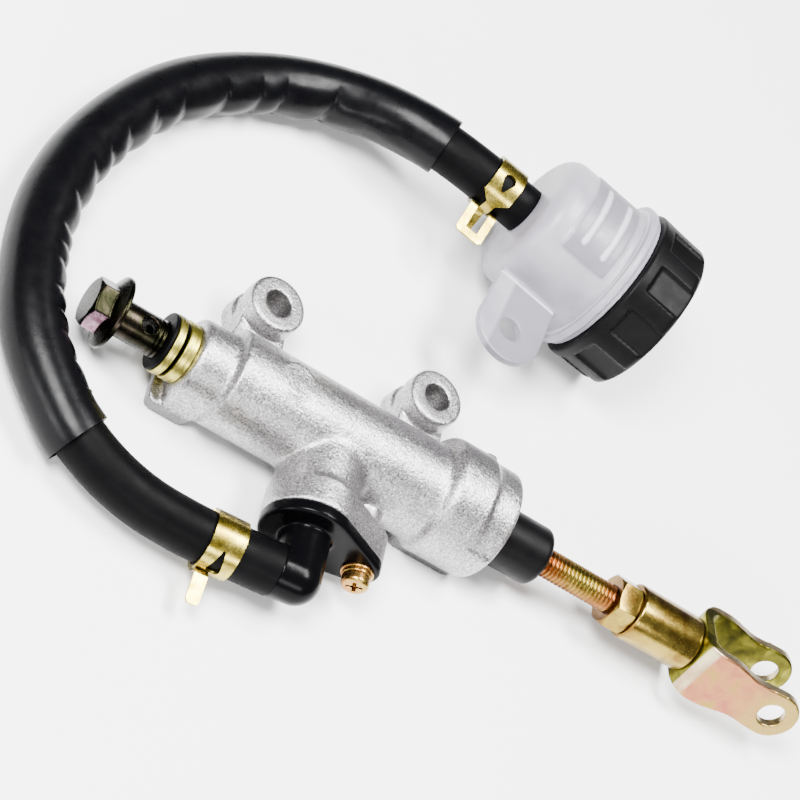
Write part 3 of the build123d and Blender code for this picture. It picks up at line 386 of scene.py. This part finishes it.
# name: three film colours, roughness range, patch size
PLATINGS = {
    "gold": ("pale_gold_zinc", (0.11, 0.045, 0.01), (0.2, 0.12, 0.02), (0.4, 0.29, 0.055), (0.16, 0.3), 5.0),
    "clamp": ("clamp_zinc", (0.08, 0.06, 0.005), (0.28, 0.21, 0.025), (0.56, 0.45, 0.09), (0.2, 0.32), 4.5),
    "seal": ("yellow_zinc", (0.16, 0.14, 0.015), (0.36, 0.31, 0.04), (0.6, 0.52, 0.11), (0.26, 0.4), 4.0),
    "copper": ("copper_zinc", (0.26, 0.1, 0.03), (0.42, 0.2, 0.06), (0.4, 0.27, 0.06), (0.2, 0.34), 5.0),
}
# name: colour, roughness range, grain size and depth, haze, slow waves and specular level
RUBBERS = {
    "rubber": ("hose_rubber", (0.001, 0.001, 0.0012), (0.4, 0.54), 0.5, 0.05, 0.3, 0.25, 0.035),
    "boot": ("boot_rubber", (0.0012, 0.0012, 0.0014), (0.36, 0.48), 0.6, 0.04, 0.3, 0.1, 0.08),
    "sleeve": ("sleeve_vinyl", (0.001, 0.001, 0.0014), (0.24, 0.36), 0.7, 0.03, 0.25, 0.2, 0.1),
    "gloss": ("glossy_moulding", (0.001, 0.001, 0.0013), (0.16, 0.26), 0.9, 0.02, 0.15, 0.12, 0.05),
    "cap": ("cap_moulding", (0.002, 0.0018, 0.002), (0.34, 0.48), 0.45, 0.07, 0.4, 0.0, 0.06),
}
LOOKS = {
    "casting": cast_aluminium(),
    "bolt": phosphate(),
    "yoke": yoke_plating(),
    "thread": thread_plating(),
    "steel": plain_metal("spring_steel", (0.46, 0.46, 0.47)),
    "bright": plain_metal("bright_zinc", (0.72, 0.7, 0.62)),
    "alloy": plain_metal("piston_alloy", (0.75, 0.75, 0.76)),
    "frosted": frosted(),
    "white": white_plastic(),
}
LOOKS.update({key: plated(*values) for key, values in PLATINGS.items()})
LOOKS.update({key: rubber(*values) for key, values in RUBBERS.items()})


# ---- mesh helpers ------------------------------------------------------------------------------
def finish_piece(obj, node, look):
    """Gives the object its look and lets it stand for a CAD node on that node's body."""
    obj.data.materials.clear()
    obj.data.materials.append(LOOKS[look])
    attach(obj, body_of[node])
    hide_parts(node)


def linked(name, data):
    """A new object in the scene."""
    obj = bpy.data.objects.new(name, data)
    bpy.context.scene.collection.objects.link(obj)
    return obj


def shade(mesh, angle):
    """Smooth faces, with the edges turning by more than angle kept sharp."""
    b = bmesh.new()
    b.from_mesh(mesh)
    bmesh.ops.recalc_face_normals(b, faces=b.faces)
    for face in b.faces:
        face.smooth = True
    for edge in b.edges:
        edge.smooth = len(edge.link_faces) == 2 and edge.calc_face_angle(0) < math.radians(angle)
    b.to_mesh(mesh)
    b.free()


def mesh_object(name, verts, faces, angle):
    """A new object from points in millimetres."""
    mesh = bpy.data.meshes.new(name)
    mesh.from_pydata([tuple(MM * c for c in v) for v in verts], [], faces)
    shade(mesh, angle)
    return linked(name, mesh)


def applied(obj):
    """The object's mesh with its modifiers made real."""
    graph = bpy.context.evaluated_depsgraph_get()
    mesh = bpy.data.meshes.new_from_object(obj.evaluated_get(graph), depsgraph=graph)
    obj.modifiers.clear()
    obj.data = mesh
    return obj


def rounded_copy(node, name, bevel_mm):
    """A copy of a CAD node with its sharp edges rounded."""
    b = bmesh.new()
    b.from_mesh(nodes[node].data)
    bmesh.ops.remove_doubles(b, verts=b.verts, dist=2e-6)
    bmesh.ops.dissolve_limit(b, angle_limit=math.radians(0.2), verts=b.verts, edges=b.edges)
    sharp = [e for e in b.edges if len(e.link_faces) == 2 and e.calc_face_angle(0) > math.radians(30)]
    bmesh.ops.bevel(
        b, geom=sharp, offset=bevel_mm * MM, segments=3, profile=0.5, affect="EDGES", clamp_overlap=True
    )
    mesh = bpy.data.meshes.new(name)
    b.to_mesh(mesh)
    b.free()
    shade(mesh, 38)
    return linked(name, mesh)


def remeshed_copy(node, name, voxel_mm):
    """A CAD node's mesh made anew from small cubes."""
    obj = linked(name, nodes[node].data.copy())
    remesh = obj.modifiers.new("Remesh", "REMESH")
    remesh.mode = "VOXEL"
    remesh.voxel_size = voxel_mm * MM
    return applied(obj)


def soften(mesh, fill_steps, round_steps, locked=None, relief=None):
    """Fills concave corners like a casting's blends, then rounds every edge a little.

    locked(points) is 1 where the surface stays, and relief(points) is how far it moves out, in mm.
    """
    count = len(mesh.vertices)
    co = np.empty(count * 3)
    mesh.vertices.foreach_get("co", co)
    co = co.reshape(-1, 3) / MM
    ends = np.empty(len(mesh.edges) * 2, dtype=np.int64)
    mesh.edges.foreach_get("vertices", ends)
    a, b = ends.reshape(-1, 2).T
    degree = np.bincount(a, minlength=count) + np.bincount(b, minlength=count)
    mesh.calc_loop_triangles()
    tri = np.empty(len(mesh.loop_triangles) * 3, dtype=np.int64)
    mesh.loop_triangles.foreach_get("vertices", tri)
    tri = tri.reshape(-1, 3)

    def normals():
        across = np.cross(co[tri[:, 1]] - co[tri[:, 0]], co[tri[:, 2]] - co[tri[:, 0]])
        total = np.zeros((count, 3))
        for k in range(3):
            for axis in range(3):
                total[:, axis] += np.bincount(tri[:, k], across[:, axis], count)
        return total / np.maximum(np.linalg.norm(total, axis=1), 1e-12)[:, None]

    def drift():
        total = np.stack(
            [np.bincount(a, co[b, k], count) + np.bincount(b, co[a, k], count) for k in range(3)], axis=1
        )
        return total / degree[:, None] - co

    free = 1.0 - locked(co) if locked else np.ones(count)
    for step in range(fill_steps):
        if step % 6 == 0:
            out = normals()
        rise = np.maximum((drift() * out).sum(axis=1), 0) * free * 0.8
        co += out * rise[:, None]
    for step in range(round_steps):
        co += drift() * (0.5 * free)[:, None]
    if relief:
        co += normals() * (relief(co) * free)[:, None]
    mesh.vertices.foreach_set("co", (co * MM).ravel())
    mesh.update()
    for face in mesh.polygons:
        face.use_smooth = True


def near(distance, radius, edge):
    """1 inside radius, falling to 0 over edge."""
    return np.clip((radius + edge - distance) / edge, 0, 1)


# ---- hose, sleeve and clamps -------------------------------------------------------------------
def route_curve(name, bevel_mm):
    """The hose's route as a curve, with a round section if bevel_mm isn't 0."""
    curve = bpy.data.curves.new(name, "CURVE")
    curve.dimensions = "3D"
    spline = curve.splines.new("NURBS")
    spline.points.add(len(HOSE_ROUTE) - 1)
    for point, place in zip(spline.points, HOSE_ROUTE):
        point.co = (*(place * MM), 1)
    spline.order_u = 3
    spline.use_endpoint_u = True
    spline.resolution_u = 24
    curve.bevel_depth = bevel_mm * MM
    curve.bevel_resolution = 10
    curve.use_fill_caps = bevel_mm > 0
    return linked(name, curve)


def hose_line():
    """The hose's centreline as points and their distances along it, in millimetres."""
    bare = route_curve("route", 0)
    mesh = bpy.data.meshes.new_from_object(bare)
    line = np.array([v.co[:] for v in mesh.vertices]) / MM
    bpy.data.objects.remove(bare)
    keep = np.concatenate([[True], np.linalg.norm(np.diff(line, axis=0), axis=1) > 1e-5])
    line = line[keep]
    along = np.concatenate([[0], np.cumsum(np.linalg.norm(np.diff(line, axis=0), axis=1))])
    return line, along


LINE, ALONG = hose_line()


def on_hose(distance):
    """Point and direction at a distance along the hose."""
    at, before, after = (
        Vector([np.interp(d, ALONG, LINE[:, k]) for k in range(3)])
        for d in (distance, distance - 1.2, distance + 1.2)
    )
    return at, (after - before).normalized()


hose = route_curve("hose_tube", HOSE_R)
finish_piece(hose, "hose", "rubber")

# where the loose sleeve folds on the inside of its bend: distance along the hose and depth
FOLDS = [
    (66.0, 0.35), (75.5, 0.7), (82.5, 1.0), (89.7, 1.25), (96.5, 0.9), (103.4, 1.0), (109.5, 0.8),
    (115.0, 1.3), (125.2, 1.5), (136.9, 1.6), (146.8, 1.5), (154.2, 1.4), (167.9, 1.6), (177.7, 1.2),
    (193.5, 1.1), (206.1, 0.9), (213.4, 0.8), (229.6, 1.2), (243.0, 0.35),
]
SLEEVE_FROM, SLEEVE_TO, SLEEVE_WALL = 57.9, 265.4, 0.55
LOOP_MIDDLE = (20.0, 8.0)  # the sleeve's folds face this place


def fold_depth(s):
    """How deep the folds' notches are at a distance along the sleeve: round bulges with sharp creases."""
    places = [place for place, _ in FOLDS]
    if s <= places[0] or s >= places[-1]:
        return 0.0
    k = next(i for i in range(len(places) - 1) if places[i + 1] >= s)
    share = (s - places[k]) / (places[k + 1] - places[k])
    bulge = math.sin(math.pi * share) ** 0.5
    depth = FOLDS[k][1] * (1 - share) + FOLDS[k + 1][1] * share
    return 1.25 * depth * (1 - bulge)


def sleeve_mesh():
    """The loose sleeve: an outer and an inner skin, wrinkled on the inside of the bend."""
    rings, sides = 460, 96
    verts, faces = [], []
    for layer in (0, 1):
        for i in range(rings + 1):
            s = SLEEVE_FROM + (SLEEVE_TO - SLEEVE_FROM) * i / rings
            at, tangent = on_hose(s)
            inside = Vector((*LOOP_MIDDLE, at.z)) - at
            inside = (inside - tangent * inside.dot(tangent)).normalized()
            up = tangent.cross(inside)
            if up.z < 0:
                up = -up
            low_end = math.exp(-((s - SLEEVE_FROM) / 9.0) ** 2)
            high_end = math.exp(-((SLEEVE_TO - s) / 12.0) ** 2)
            at = at - inside * (0.15 + 0.55 * low_end) + up * 0.1
            for j in range(sides):
                turn = 2 * math.pi * j / sides
                facing = math.cos(turn)
                lean = 0.9 * math.sin(0.35 * s) * math.sin(turn)
                lobe = max(0.0, (facing - 0.2) / 0.8) ** 0.9
                fold = fold_depth(s + lean) * lobe
                puff = 0.35 * lobe * (1 - min(1.0, fold)) * (1 if FOLDS[0][0] < s < FOLDS[-1][0] else 0)
                slow = 0.28 * noise.noise(Vector((s * 0.045, facing * 1.1, math.sin(turn) * 1.1)))
                crease = 0.22 * noise.noise(Vector((s * 0.11, facing * 2.3 + 7, math.sin(turn) * 2.3))) * lobe
                radius = SLEEVE_R + 0.1 + puff + slow + crease - fold + 0.35 * low_end + 0.1 * high_end
                radius = max(radius, HOSE_R + SLEEVE_WALL) - SLEEVE_WALL * layer
                verts.append(at + inside * (radius * facing) + up * (radius * math.sin(turn)))
    per = sides * (rings + 1)
    for layer in (0, 1):
        for i in range(rings):
            for j in range(sides):
                a = layer * per + i * sides + j
                b = layer * per + i * sides + (j + 1) % sides
                quad = (a, b, b + sides, a + sides)
                faces.append(quad if layer else quad[::-1])
    for i in (0, rings):
        for j in range(sides):
            a, b = i * sides + j, i * sides + (j + 1) % sides
            quad = (a, b, b + per, a + per)
            faces.append(quad[::-1] if i else quad)
    return verts, faces


sleeve = mesh_object("loose_sleeve", *sleeve_mesh(), angle=60)
finish_piece(sleeve, "hose_sleeve", "sleeve")

STRIP, STRIP_HALF = 0.75, 4.2  # the clamps' thickness and half width
CLAMP_R = HOSE_R + 0.6


def inside_loop(p, loop):
    """Whether a flat point lies inside a closed loop."""
    hit = False
    for (x0, y0), (x1, y1) in zip(loop, loop[1:] + loop[:1]):
        if (y0 > p[1]) != (y1 > p[1]) and p[0] < x0 + (x1 - x0) * (p[1] - y0) / (y1 - y0):
            hit = not hit
    return hit


def dense(loop, step):
    """The loop with points no more than about a step apart."""
    out = []
    for a, b in zip(loop, loop[1:] + loop[:1]):
        n = max(1, round(math.dist(a, b) / step))
        out += [(a[0] + (b[0] - a[0]) * i / n, a[1] + (b[1] - a[1]) * i / n) for i in range(n)]
    return out


def strip_mesh(outline, windows, place):
    """A flat strip with windows, bent by place(u, v, height) and given its thickness."""
    step, half = 0.45, STRIP / 2
    loops = [dense(loop, step) for loop in [outline, *windows]]
    points, edges = [], []
    for loop in loops:
        base = len(points)
        points += loop
        edges += [(base + i, base + (i + 1) % len(loop)) for i in range(len(loop))]
    rim = list(points)
    lows, highs = [min(p[k] for p in rim) for k in (0, 1)], [max(p[k] for p in rim) for k in (0, 1)]
    for i in range(int((highs[0] - lows[0]) / step) + 1):
        for j in range(int((highs[1] - lows[1]) / step) + 1):
            p = (lows[0] + (i + 0.5) * step, lows[1] + (j + 0.5) * step)
            if inside_loop(p, outline) and not any(inside_loop(p, w) for w in windows):
                if min((p[0] - q[0]) ** 2 + (p[1] - q[1]) ** 2 for q in rim) > (0.45 * step) ** 2:
                    points.append(p)
    flat, _, triangles, *_ = geometry.delaunay_2d_cdt([Vector(p) for p in points], edges, [], 0, 1e-6)
    kept = []
    for t in triangles:
        middle = tuple(sum(flat[i][k] for i in t) / 3 for k in (0, 1))
        if inside_loop(middle, outline) and not any(inside_loop(middle, w) for w in windows):
            kept.append(tuple(t))
    n = len(flat)
    verts = [place(p[0], p[1], half) for p in flat] + [place(p[0], p[1], -half) for p in flat]
    faces = kept + [tuple(i + n for i in reversed(t)) for t in kept]
    sides = {side: True for t in kept for side in zip(t, t[1:] + t[:1])}
    faces += [(b, a, a + n, b + n) for a, b in sides if (b, a) not in sides]
    return verts, faces


class Band:
    """A strip's path round the hose: a straight tang, the ring and another tang, all in one plane."""

    def __init__(self, centre, axis, out, hand, radius, first_deg, last_deg, first_tang, last_tang):
        self.centre, self.axis = centre, axis
        self.x = (out - axis * out.dot(axis)).normalized()
        self.y = axis.cross(self.x) * hand
        ring = [math.radians(first_deg + (last_deg - first_deg) * i / 160) for i in range(161)]
        middle = [(radius * math.cos(t), radius * math.sin(t)) for t in ring]
        head = self.tang(middle[0], ring[0] - math.pi / 2, 1, first_tang)
        tail = self.tang(middle[-1], ring[-1] + math.pi / 2, -1, last_tang)
        self.path = np.array(head[::-1] + middle + tail)
        self.u = np.concatenate([[0], np.cumsum(np.linalg.norm(np.diff(self.path, axis=0), axis=1))])
        self.ring_from, self.first, self.radius = self.u[len(head)], first_deg, radius

    @staticmethod
    def tang(start, heading, turn, length):
        """An outward bend of 84 degrees and a straight end."""
        if length <= 0:
            return []
        out, (x, y) = [], start
        bend_r, part = 1.3, math.radians(8.4)
        for _ in range(10):
            heading += turn * part
            x += math.cos(heading) * bend_r * part
            y += math.sin(heading) * bend_r * part
            out.append((x, y))
        for _ in range(12):
            x += math.cos(heading) * length / 12
            y += math.sin(heading) * length / 12
            out.append((x, y))
        return out

    def at_angle(self, degrees):
        """How far along the strip an angle of the ring lies."""
        return self.ring_from + math.radians(degrees - self.first) * self.radius

    def place(self, u, v, h):
        """The point at u along the strip, v across it and h above its middle."""
        p = [np.interp(u, self.u, self.path[:, k]) for k in (0, 1)]
        q = [np.interp(min(u + 0.15, self.u[-1]), self.u, self.path[:, k]) for k in (0, 1)]
        r = [np.interp(max(u - 0.15, 0), self.u, self.path[:, k]) for k in (0, 1)]
        t = Vector((q[0] - r[0], q[1] - r[1])).normalized()
        x, y = p[0] + t.y * h, p[1] - t.x * h
        return self.centre + self.x * x + self.y * y + self.axis * v


def teardrop(u, narrow_u, half):
    """A window round at u and narrowing to narrow_u."""
    side, narrow_half = 1 if u > narrow_u else -1, 0.35
    angles = [math.pi * i / 10 for i in range(11)]
    arc = [(u + side * half * math.sin(t), half * math.cos(t)) for t in angles]
    return arc + [(narrow_u, -narrow_half), (narrow_u, narrow_half)]


def lower_clamp():
    """The clamp at the elbow: a band with a window, and a tang that stands out beside it."""
    at, axis = on_hose(15.0)
    out, half = Vector((-0.2, -1.0, -0.35)), STRIP_HALF
    band = Band(at, axis, out, 1, CLAMP_R, -175, 175, 0, 0)
    outline = [(band.u[0], -half), (band.u[-1], -half), (band.u[-1], half), (band.u[0], half)]
    window = teardrop(band.at_angle(22), band.at_angle(66), 1.75)
    verts, faces = strip_mesh(outline, [window], band.place)
    tang = Band(at, axis, out, 1, CLAMP_R + STRIP, -70, 2, 0, 7.6)
    start, end = tang.at_angle(-66), tang.u[-1]
    shape = [(start, 0.1), (end - 1.2, 0.1), (end, 0.6), (end, 3.2), (end - 1.2, 3.7), (start, 3.7)]
    more, extra = strip_mesh(shape, [], tang.place)
    n = len(verts)
    return verts + more, faces + [tuple(i + n for i in f) for f in extra]


def upper_clamp():
    """The clamp at the reservoir: its narrow tang passes through the slot of its wide one."""
    at, axis = on_hose(HOSE_LENGTH - 9.6)
    band = Band(at, axis, Vector((-0.35, -1.0, -0.25)), -1, CLAMP_R, -30, 352, 6.0, 9.2)
    half, neck, corner = STRIP_HALF, 1.45, 0.8
    b, c, end = band.at_angle(22), band.at_angle(40), band.u[-1]
    lower = [(0, -neck), (b, -neck), (c, -half), (end - corner, -half), (end, -half + corner)]
    outline = lower + [(u, -v) for u, v in reversed(lower)]
    slot = [(band.at_angle(312), -2.0), (end - 2.2, -1.9), (end - 2.2, 1.9), (band.at_angle(312), 2.0)]
    window = teardrop(band.at_angle(82), band.at_angle(56), 1.9)
    return strip_mesh(outline, [window, slot], band.place)


clamp_low = mesh_object("spring_clamp_low", *lower_clamp(), angle=35)
finish_piece(clamp_low, "lower_hose_clamp", "clamp")
clamp_up = mesh_object("spring_clamp_up", *upper_clamp(), angle=35)
finish_piece(clamp_up, "upper_hose_clamp", "clamp")


# ---- cast body ---------------------------------------------------------------------------------
def across_bore(co):
    """Distance of each point from the bore's axis."""
    return np.hypot(co[:, 1] - BORE_Y, co[:, 2] - BORE_Z)


def casting_lock(co):
    """1 on machined bores and faces that other pieces meet, 0 on the cast skin."""
    x, y, z = co.T
    bore, port = across_bore(co), y < -46
    zones = [
        near(bore, 8.9, 0.4) * (x > 30.5) * (x < 48.6),  # the boot's seat and the circlip's groove
        near(bore, 6.6, 0.4) * (x > -31),  # the bore
        near(bore, 5.2, 0.4),  # the outlet's thread
        near(np.hypot(x + EAR_X, y), EAR_HOLE_R + 0.05, 0.5),
        near(np.hypot(x - EAR_X, y), EAR_HOLE_R + 0.05, 0.5),
        near(np.hypot(x - INLET_X, z - BORE_Z), 5.2, 0.4) * port,  # the elbow's socket
        near(np.hypot(x - SCREW_X, z - SCREW_Z), 2.2, 0.3) * port,
        near(np.abs(z), 0.2, 0.25),  # the flat back
        near(np.abs(y - INLET_FACE_Y), 0.1, 0.15) * 0.85,
    ]
    return np.max(zones, axis=0)


body = remeshed_copy("cylinder_body", "cast_body", 0.36)
soften(body.data, 26, 4, locked=casting_lock)
finish_piece(body, "cylinder_body", "casting")


# ---- softened copies of the mouldings and small metal parts -------------------------------------
def helix_phase(co):
    """Where each point lies between two crests of a right-hand thread along the bore, -0.5 to 0.5."""
    turn = np.arctan2(co[:, 2] - BORE_Z, co[:, 1] - BORE_Y) / (2 * np.pi)
    return (co[:, 0] / PITCH - turn + 0.5) % 1.0 - 0.5


def bolt_thread(co):
    """The bolt's thread, cut into its shank past the plain neck."""
    shank = (co[:, 0] > -54.9) & (across_bore(co) > 4.3) & (across_bore(co) < 5.3)
    return -0.32 * shank * np.abs(np.cos(np.pi * helix_phase(co))) ** 1.5 * near(-co[:, 0], 54.5, 0.6)


def soft_copy(node, name, look, voxel_mm, fill, rounds, relief=None):
    """A finely remeshed copy of a CAD node with rounded edges, which stands for it."""
    obj = remeshed_copy(node, name, voxel_mm * (1.0))
    soften(obj.data, fill, rounds, relief=relief)
    finish_piece(obj, node, look)


soft_copy("banjo_bolt", "bolt_turned", "bolt", 0.2, 2, 3, bolt_thread)
soft_copy("inlet_elbow", "elbow_moulding", "gloss", 0.28, 10, 5)
soft_copy("reservoir", "reservoir_bottle", "frosted", 0.36, 8, 4)
soft_copy("reservoir_cap", "cap_moulding", "cap", 0.34, 4, 4)
soft_copy("clevis_yoke", "yoke_strip", "yoke", 0.26, 4, 4)
soft_copy("elbow_screw", "screw_turned", "copper", 0.14, 1, 2)
soft_copy("pushrod_boot", "boot_moulding", "boot", 0.26, 4, 5)


def rounded_band(x0, x1, r_in, r_out, ridges, depth, edge=0.35):
    """A ring's profile with soft outer corners and shallow ridges round it."""
    steps = 40
    out = [(x0, r_in)]
    for i in range(steps + 1):
        share = i / steps
        x = x0 + (x1 - x0) * share
        rim = min(x - x0, x1 - x)
        corner = edge - math.sqrt(max(edge**2 - (edge - min(rim, edge)) ** 2, 0))
        groove = depth * (0.5 - 0.5 * math.cos(2 * math.pi * ridges * share)) if ridges else 0
        out.append((x, r_out - corner - groove))
    return out + [(x1, r_in)]


def ring_mesh(profile):
    """A ring round the bore's axis from its profile of places along the bore and radii."""
    sides, count = 112, len(profile)
    verts, faces = [], []
    for j in range(sides):
        turn = 2 * math.pi * j / sides
        across, up = math.cos(turn), math.sin(turn)
        verts += [(x, BORE_Y + radius * across, BORE_Z + radius * up) for x, radius in profile]
    for j in range(sides):
        for i in range(count):
            a, b = j * count + i, j * count + (i + 1) % count
            faces.append((a, b, (b + count) % len(verts), (a + count) % len(verts)))
    return mesh_object("ring", verts, faces, 40)


def joined_rings(name, profiles, look, node):
    """One piece made of several rings."""
    b = bmesh.new()
    for piece in [ring_mesh(profile) for profile in profiles]:
        b.from_mesh(piece.data)
        bpy.data.objects.remove(piece)
    mesh = bpy.data.meshes.new(name)
    b.to_mesh(mesh)
    b.free()
    finish_piece(linked(name, mesh), node, look)


# bonded seals: ridged gold rims, and the first one's rubber lip stands out towards the bolt
SEAL_HOLE_R, SEAL_RIM_R, SEAL_R = 5.15, 7.2, 8.0
rims = [rounded_band(x0, x1, SEAL_RIM_R, SEAL_R, 2, 0.06) for x0, x1 in ((-51.2, -49.1), (-48.1, -44.95))]
joined_rings("seal_rims", rims, "seal", "seal_washers")
lips = [
    rounded_band(x0, x1, SEAL_HOLE_R, radius, 0, 0, 0.5)
    for x0, x1, radius in ((-52.3, -51.15, 7.75), (-51.2, -49.05, 7.3), (-48.15, -45.0, 7.3))
]
joined_rings("seal_lips", lips, "rubber", "seal_washer_rubbers")


def thread_mesh():
    """The pushrod: a ball, a neck and an M8 x 1.25 right-hand thread."""
    sides, per_pitch, start, end = 48, 10, 46.13, 110.0
    ball_x, ball_r, neck_r, crest_r, thread_depth = 39.0, 4.4, 3.0, 3.95, 0.66
    angles = [math.pi * i / 24 for i in range(1, 18)]
    rows = [(ball_x - ball_r * math.cos(t), ball_r * math.sin(t)) for t in angles]
    rows = [(x, r) for x, r in rows if x < 42.2] + [(42.3, neck_r), (45.9, neck_r), (start, 3.3)]
    count = int((end - start - 0.3) / (PITCH / per_pitch))
    rows += [(start + 0.15 + i * PITCH / per_pitch, None) for i in range(count)]
    verts = []
    for x, r in rows:
        for j in range(sides):
            turn = 2 * math.pi * j / sides
            radius = r
            if r is None:
                phase = abs((x / PITCH - j / sides + 0.5) % 1.0 - 0.5) * 2
                cut = min(1.0, max(0.0, (phase - 0.12) / 0.76))
                ends = min(1.0, (end - x) / 1.2)
                radius = crest_r - thread_depth * cut - 0.7 * (1 - ends)
            verts.append((x, BORE_Y + radius * math.cos(turn), BORE_Z + radius * math.sin(turn)))
    faces = []
    for i in range(len(rows) - 1):
        for j in range(sides):
            a, b = i * sides + j, i * sides + (j + 1) % sides
            faces.append((a, a + sides, b + sides, b))
    faces.append(tuple(range(sides))[::-1])
    faces.append(tuple((len(rows) - 1) * sides + j for j in range(sides)))
    return verts, faces


rod = mesh_object("threaded_rod", *thread_mesh(), angle=50)
finish_piece(rod, "pushrod", "thread")

for node, look, slot, edge in (
    ("lock_nut", "gold", "gold_zinc", 0.22),
    ("clevis_barrel", "gold", "gold_zinc", 0.3),
    ("elbow_screw_washers", "copper", "copper_zinc", 0.16),
):
    finish_piece(rounded_copy(node, node + "_rounded", edge), node, look)

# hidden or plain turned pieces keep their CAD shape
PLAIN = {
    "rubber": ("elbow_o_ring", "primary_cup", "secondary_cup", "diaphragm"),
    "steel": ("return_spring", "circlip"),
    "bright": ("stop_washer",),
    "alloy": ("piston",),
    "white": ("diaphragm_plate",),
}
for look, members in PLAIN.items():
    for node in members:
        for place in nodes[node].material_slots:
            place.material = LOOKS[look]

# ---- floor, light and camera -------------------------------------------------------------------
FLOOR_Z, FLOOR_HALF = min(cad_box[0].z, 0.0), 4.0
floor_look = Look("pale_floor", Roughness=0.85, Specular_IOR_Level=0.2)
floor_look.colour(floor_look.ramp(floor_look.noise(400.0, 2), (0.3, 0.92), (0.7, 0.94)))
floor_mesh = bpy.data.meshes.new("floor")
corners = [(x * FLOOR_HALF, y * FLOOR_HALF, FLOOR_Z) for x, y in ((-1, -1), (1, -1), (1, 1), (-1, 1))]
floor_mesh.from_pydata(corners, [], [(0, 1, 2, 3)])
floor_mesh.materials.append(floor_look.material)
linked("floor", floor_mesh)

world = bpy.data.worlds.new("studio")
bpy.context.scene.world = world
world.use_nodes = True
world.node_tree.nodes["Background"].inputs["Color"].default_value = (1.0, 1.0, 1.0, 1)
world.node_tree.nodes["Background"].inputs["Strength"].default_value = 0.2


def area_light(name, place, aim, size, power):
    """A rectangular light of a size in metres and a power in watts."""
    data = bpy.data.lights.new(name, "AREA")
    data.shape, data.size, data.size_y = "RECTANGLE", *size
    data.energy = power
    lamp = linked(name, data)
    lamp.location = place
    lamp.rotation_euler = (Vector(aim) - Vector(place)).to_track_quat("-Z", "Y").to_euler()


MIDDLE = (0.03, 0.0, 0.01)  # where most of the light is aimed
area_light("key", (-0.45, -0.2, 0.8), MIDDLE, (0.35, 0.35), 32)
area_light("front", (0.1, -0.85, 0.42), MIDDLE, (0.6, 0.2), 7)
area_light("top", (0.25, 0.1, 0.95), MIDDLE, (0.5, 0.25), 30)
area_light("side", (-0.72, -0.5, 0.2), (-0.09, 0.0, 0.02), (0.4, 0.22), 6)

camera_data = bpy.data.cameras.new("camera")
camera_data.sensor_width, camera_data.lens = 36, 135
camera_data.clip_start = 0.01
camera = linked("camera", camera_data)
# the camera's own directions, and its place from where the origin lies along them in millimetres
RIGHT = Vector((0.7956, 0.1760, 0.5797))
DOWN = Vector((0.4684, -0.7856, -0.4043))
FORWARD = Vector((0.3843, 0.5931, -0.7074))
SEEN_FROM = -(RIGHT * -18.92 + DOWN * -6.49 + FORWARD * 770.21) * MM
turn = Matrix((RIGHT, -DOWN, -FORWARD)).transposed().to_quaternion().normalized()
camera.matrix_world = Matrix.Translation(SEEN_FROM) @ turn.to_matrix().to_4x4()
bpy.context.scene.camera = camera
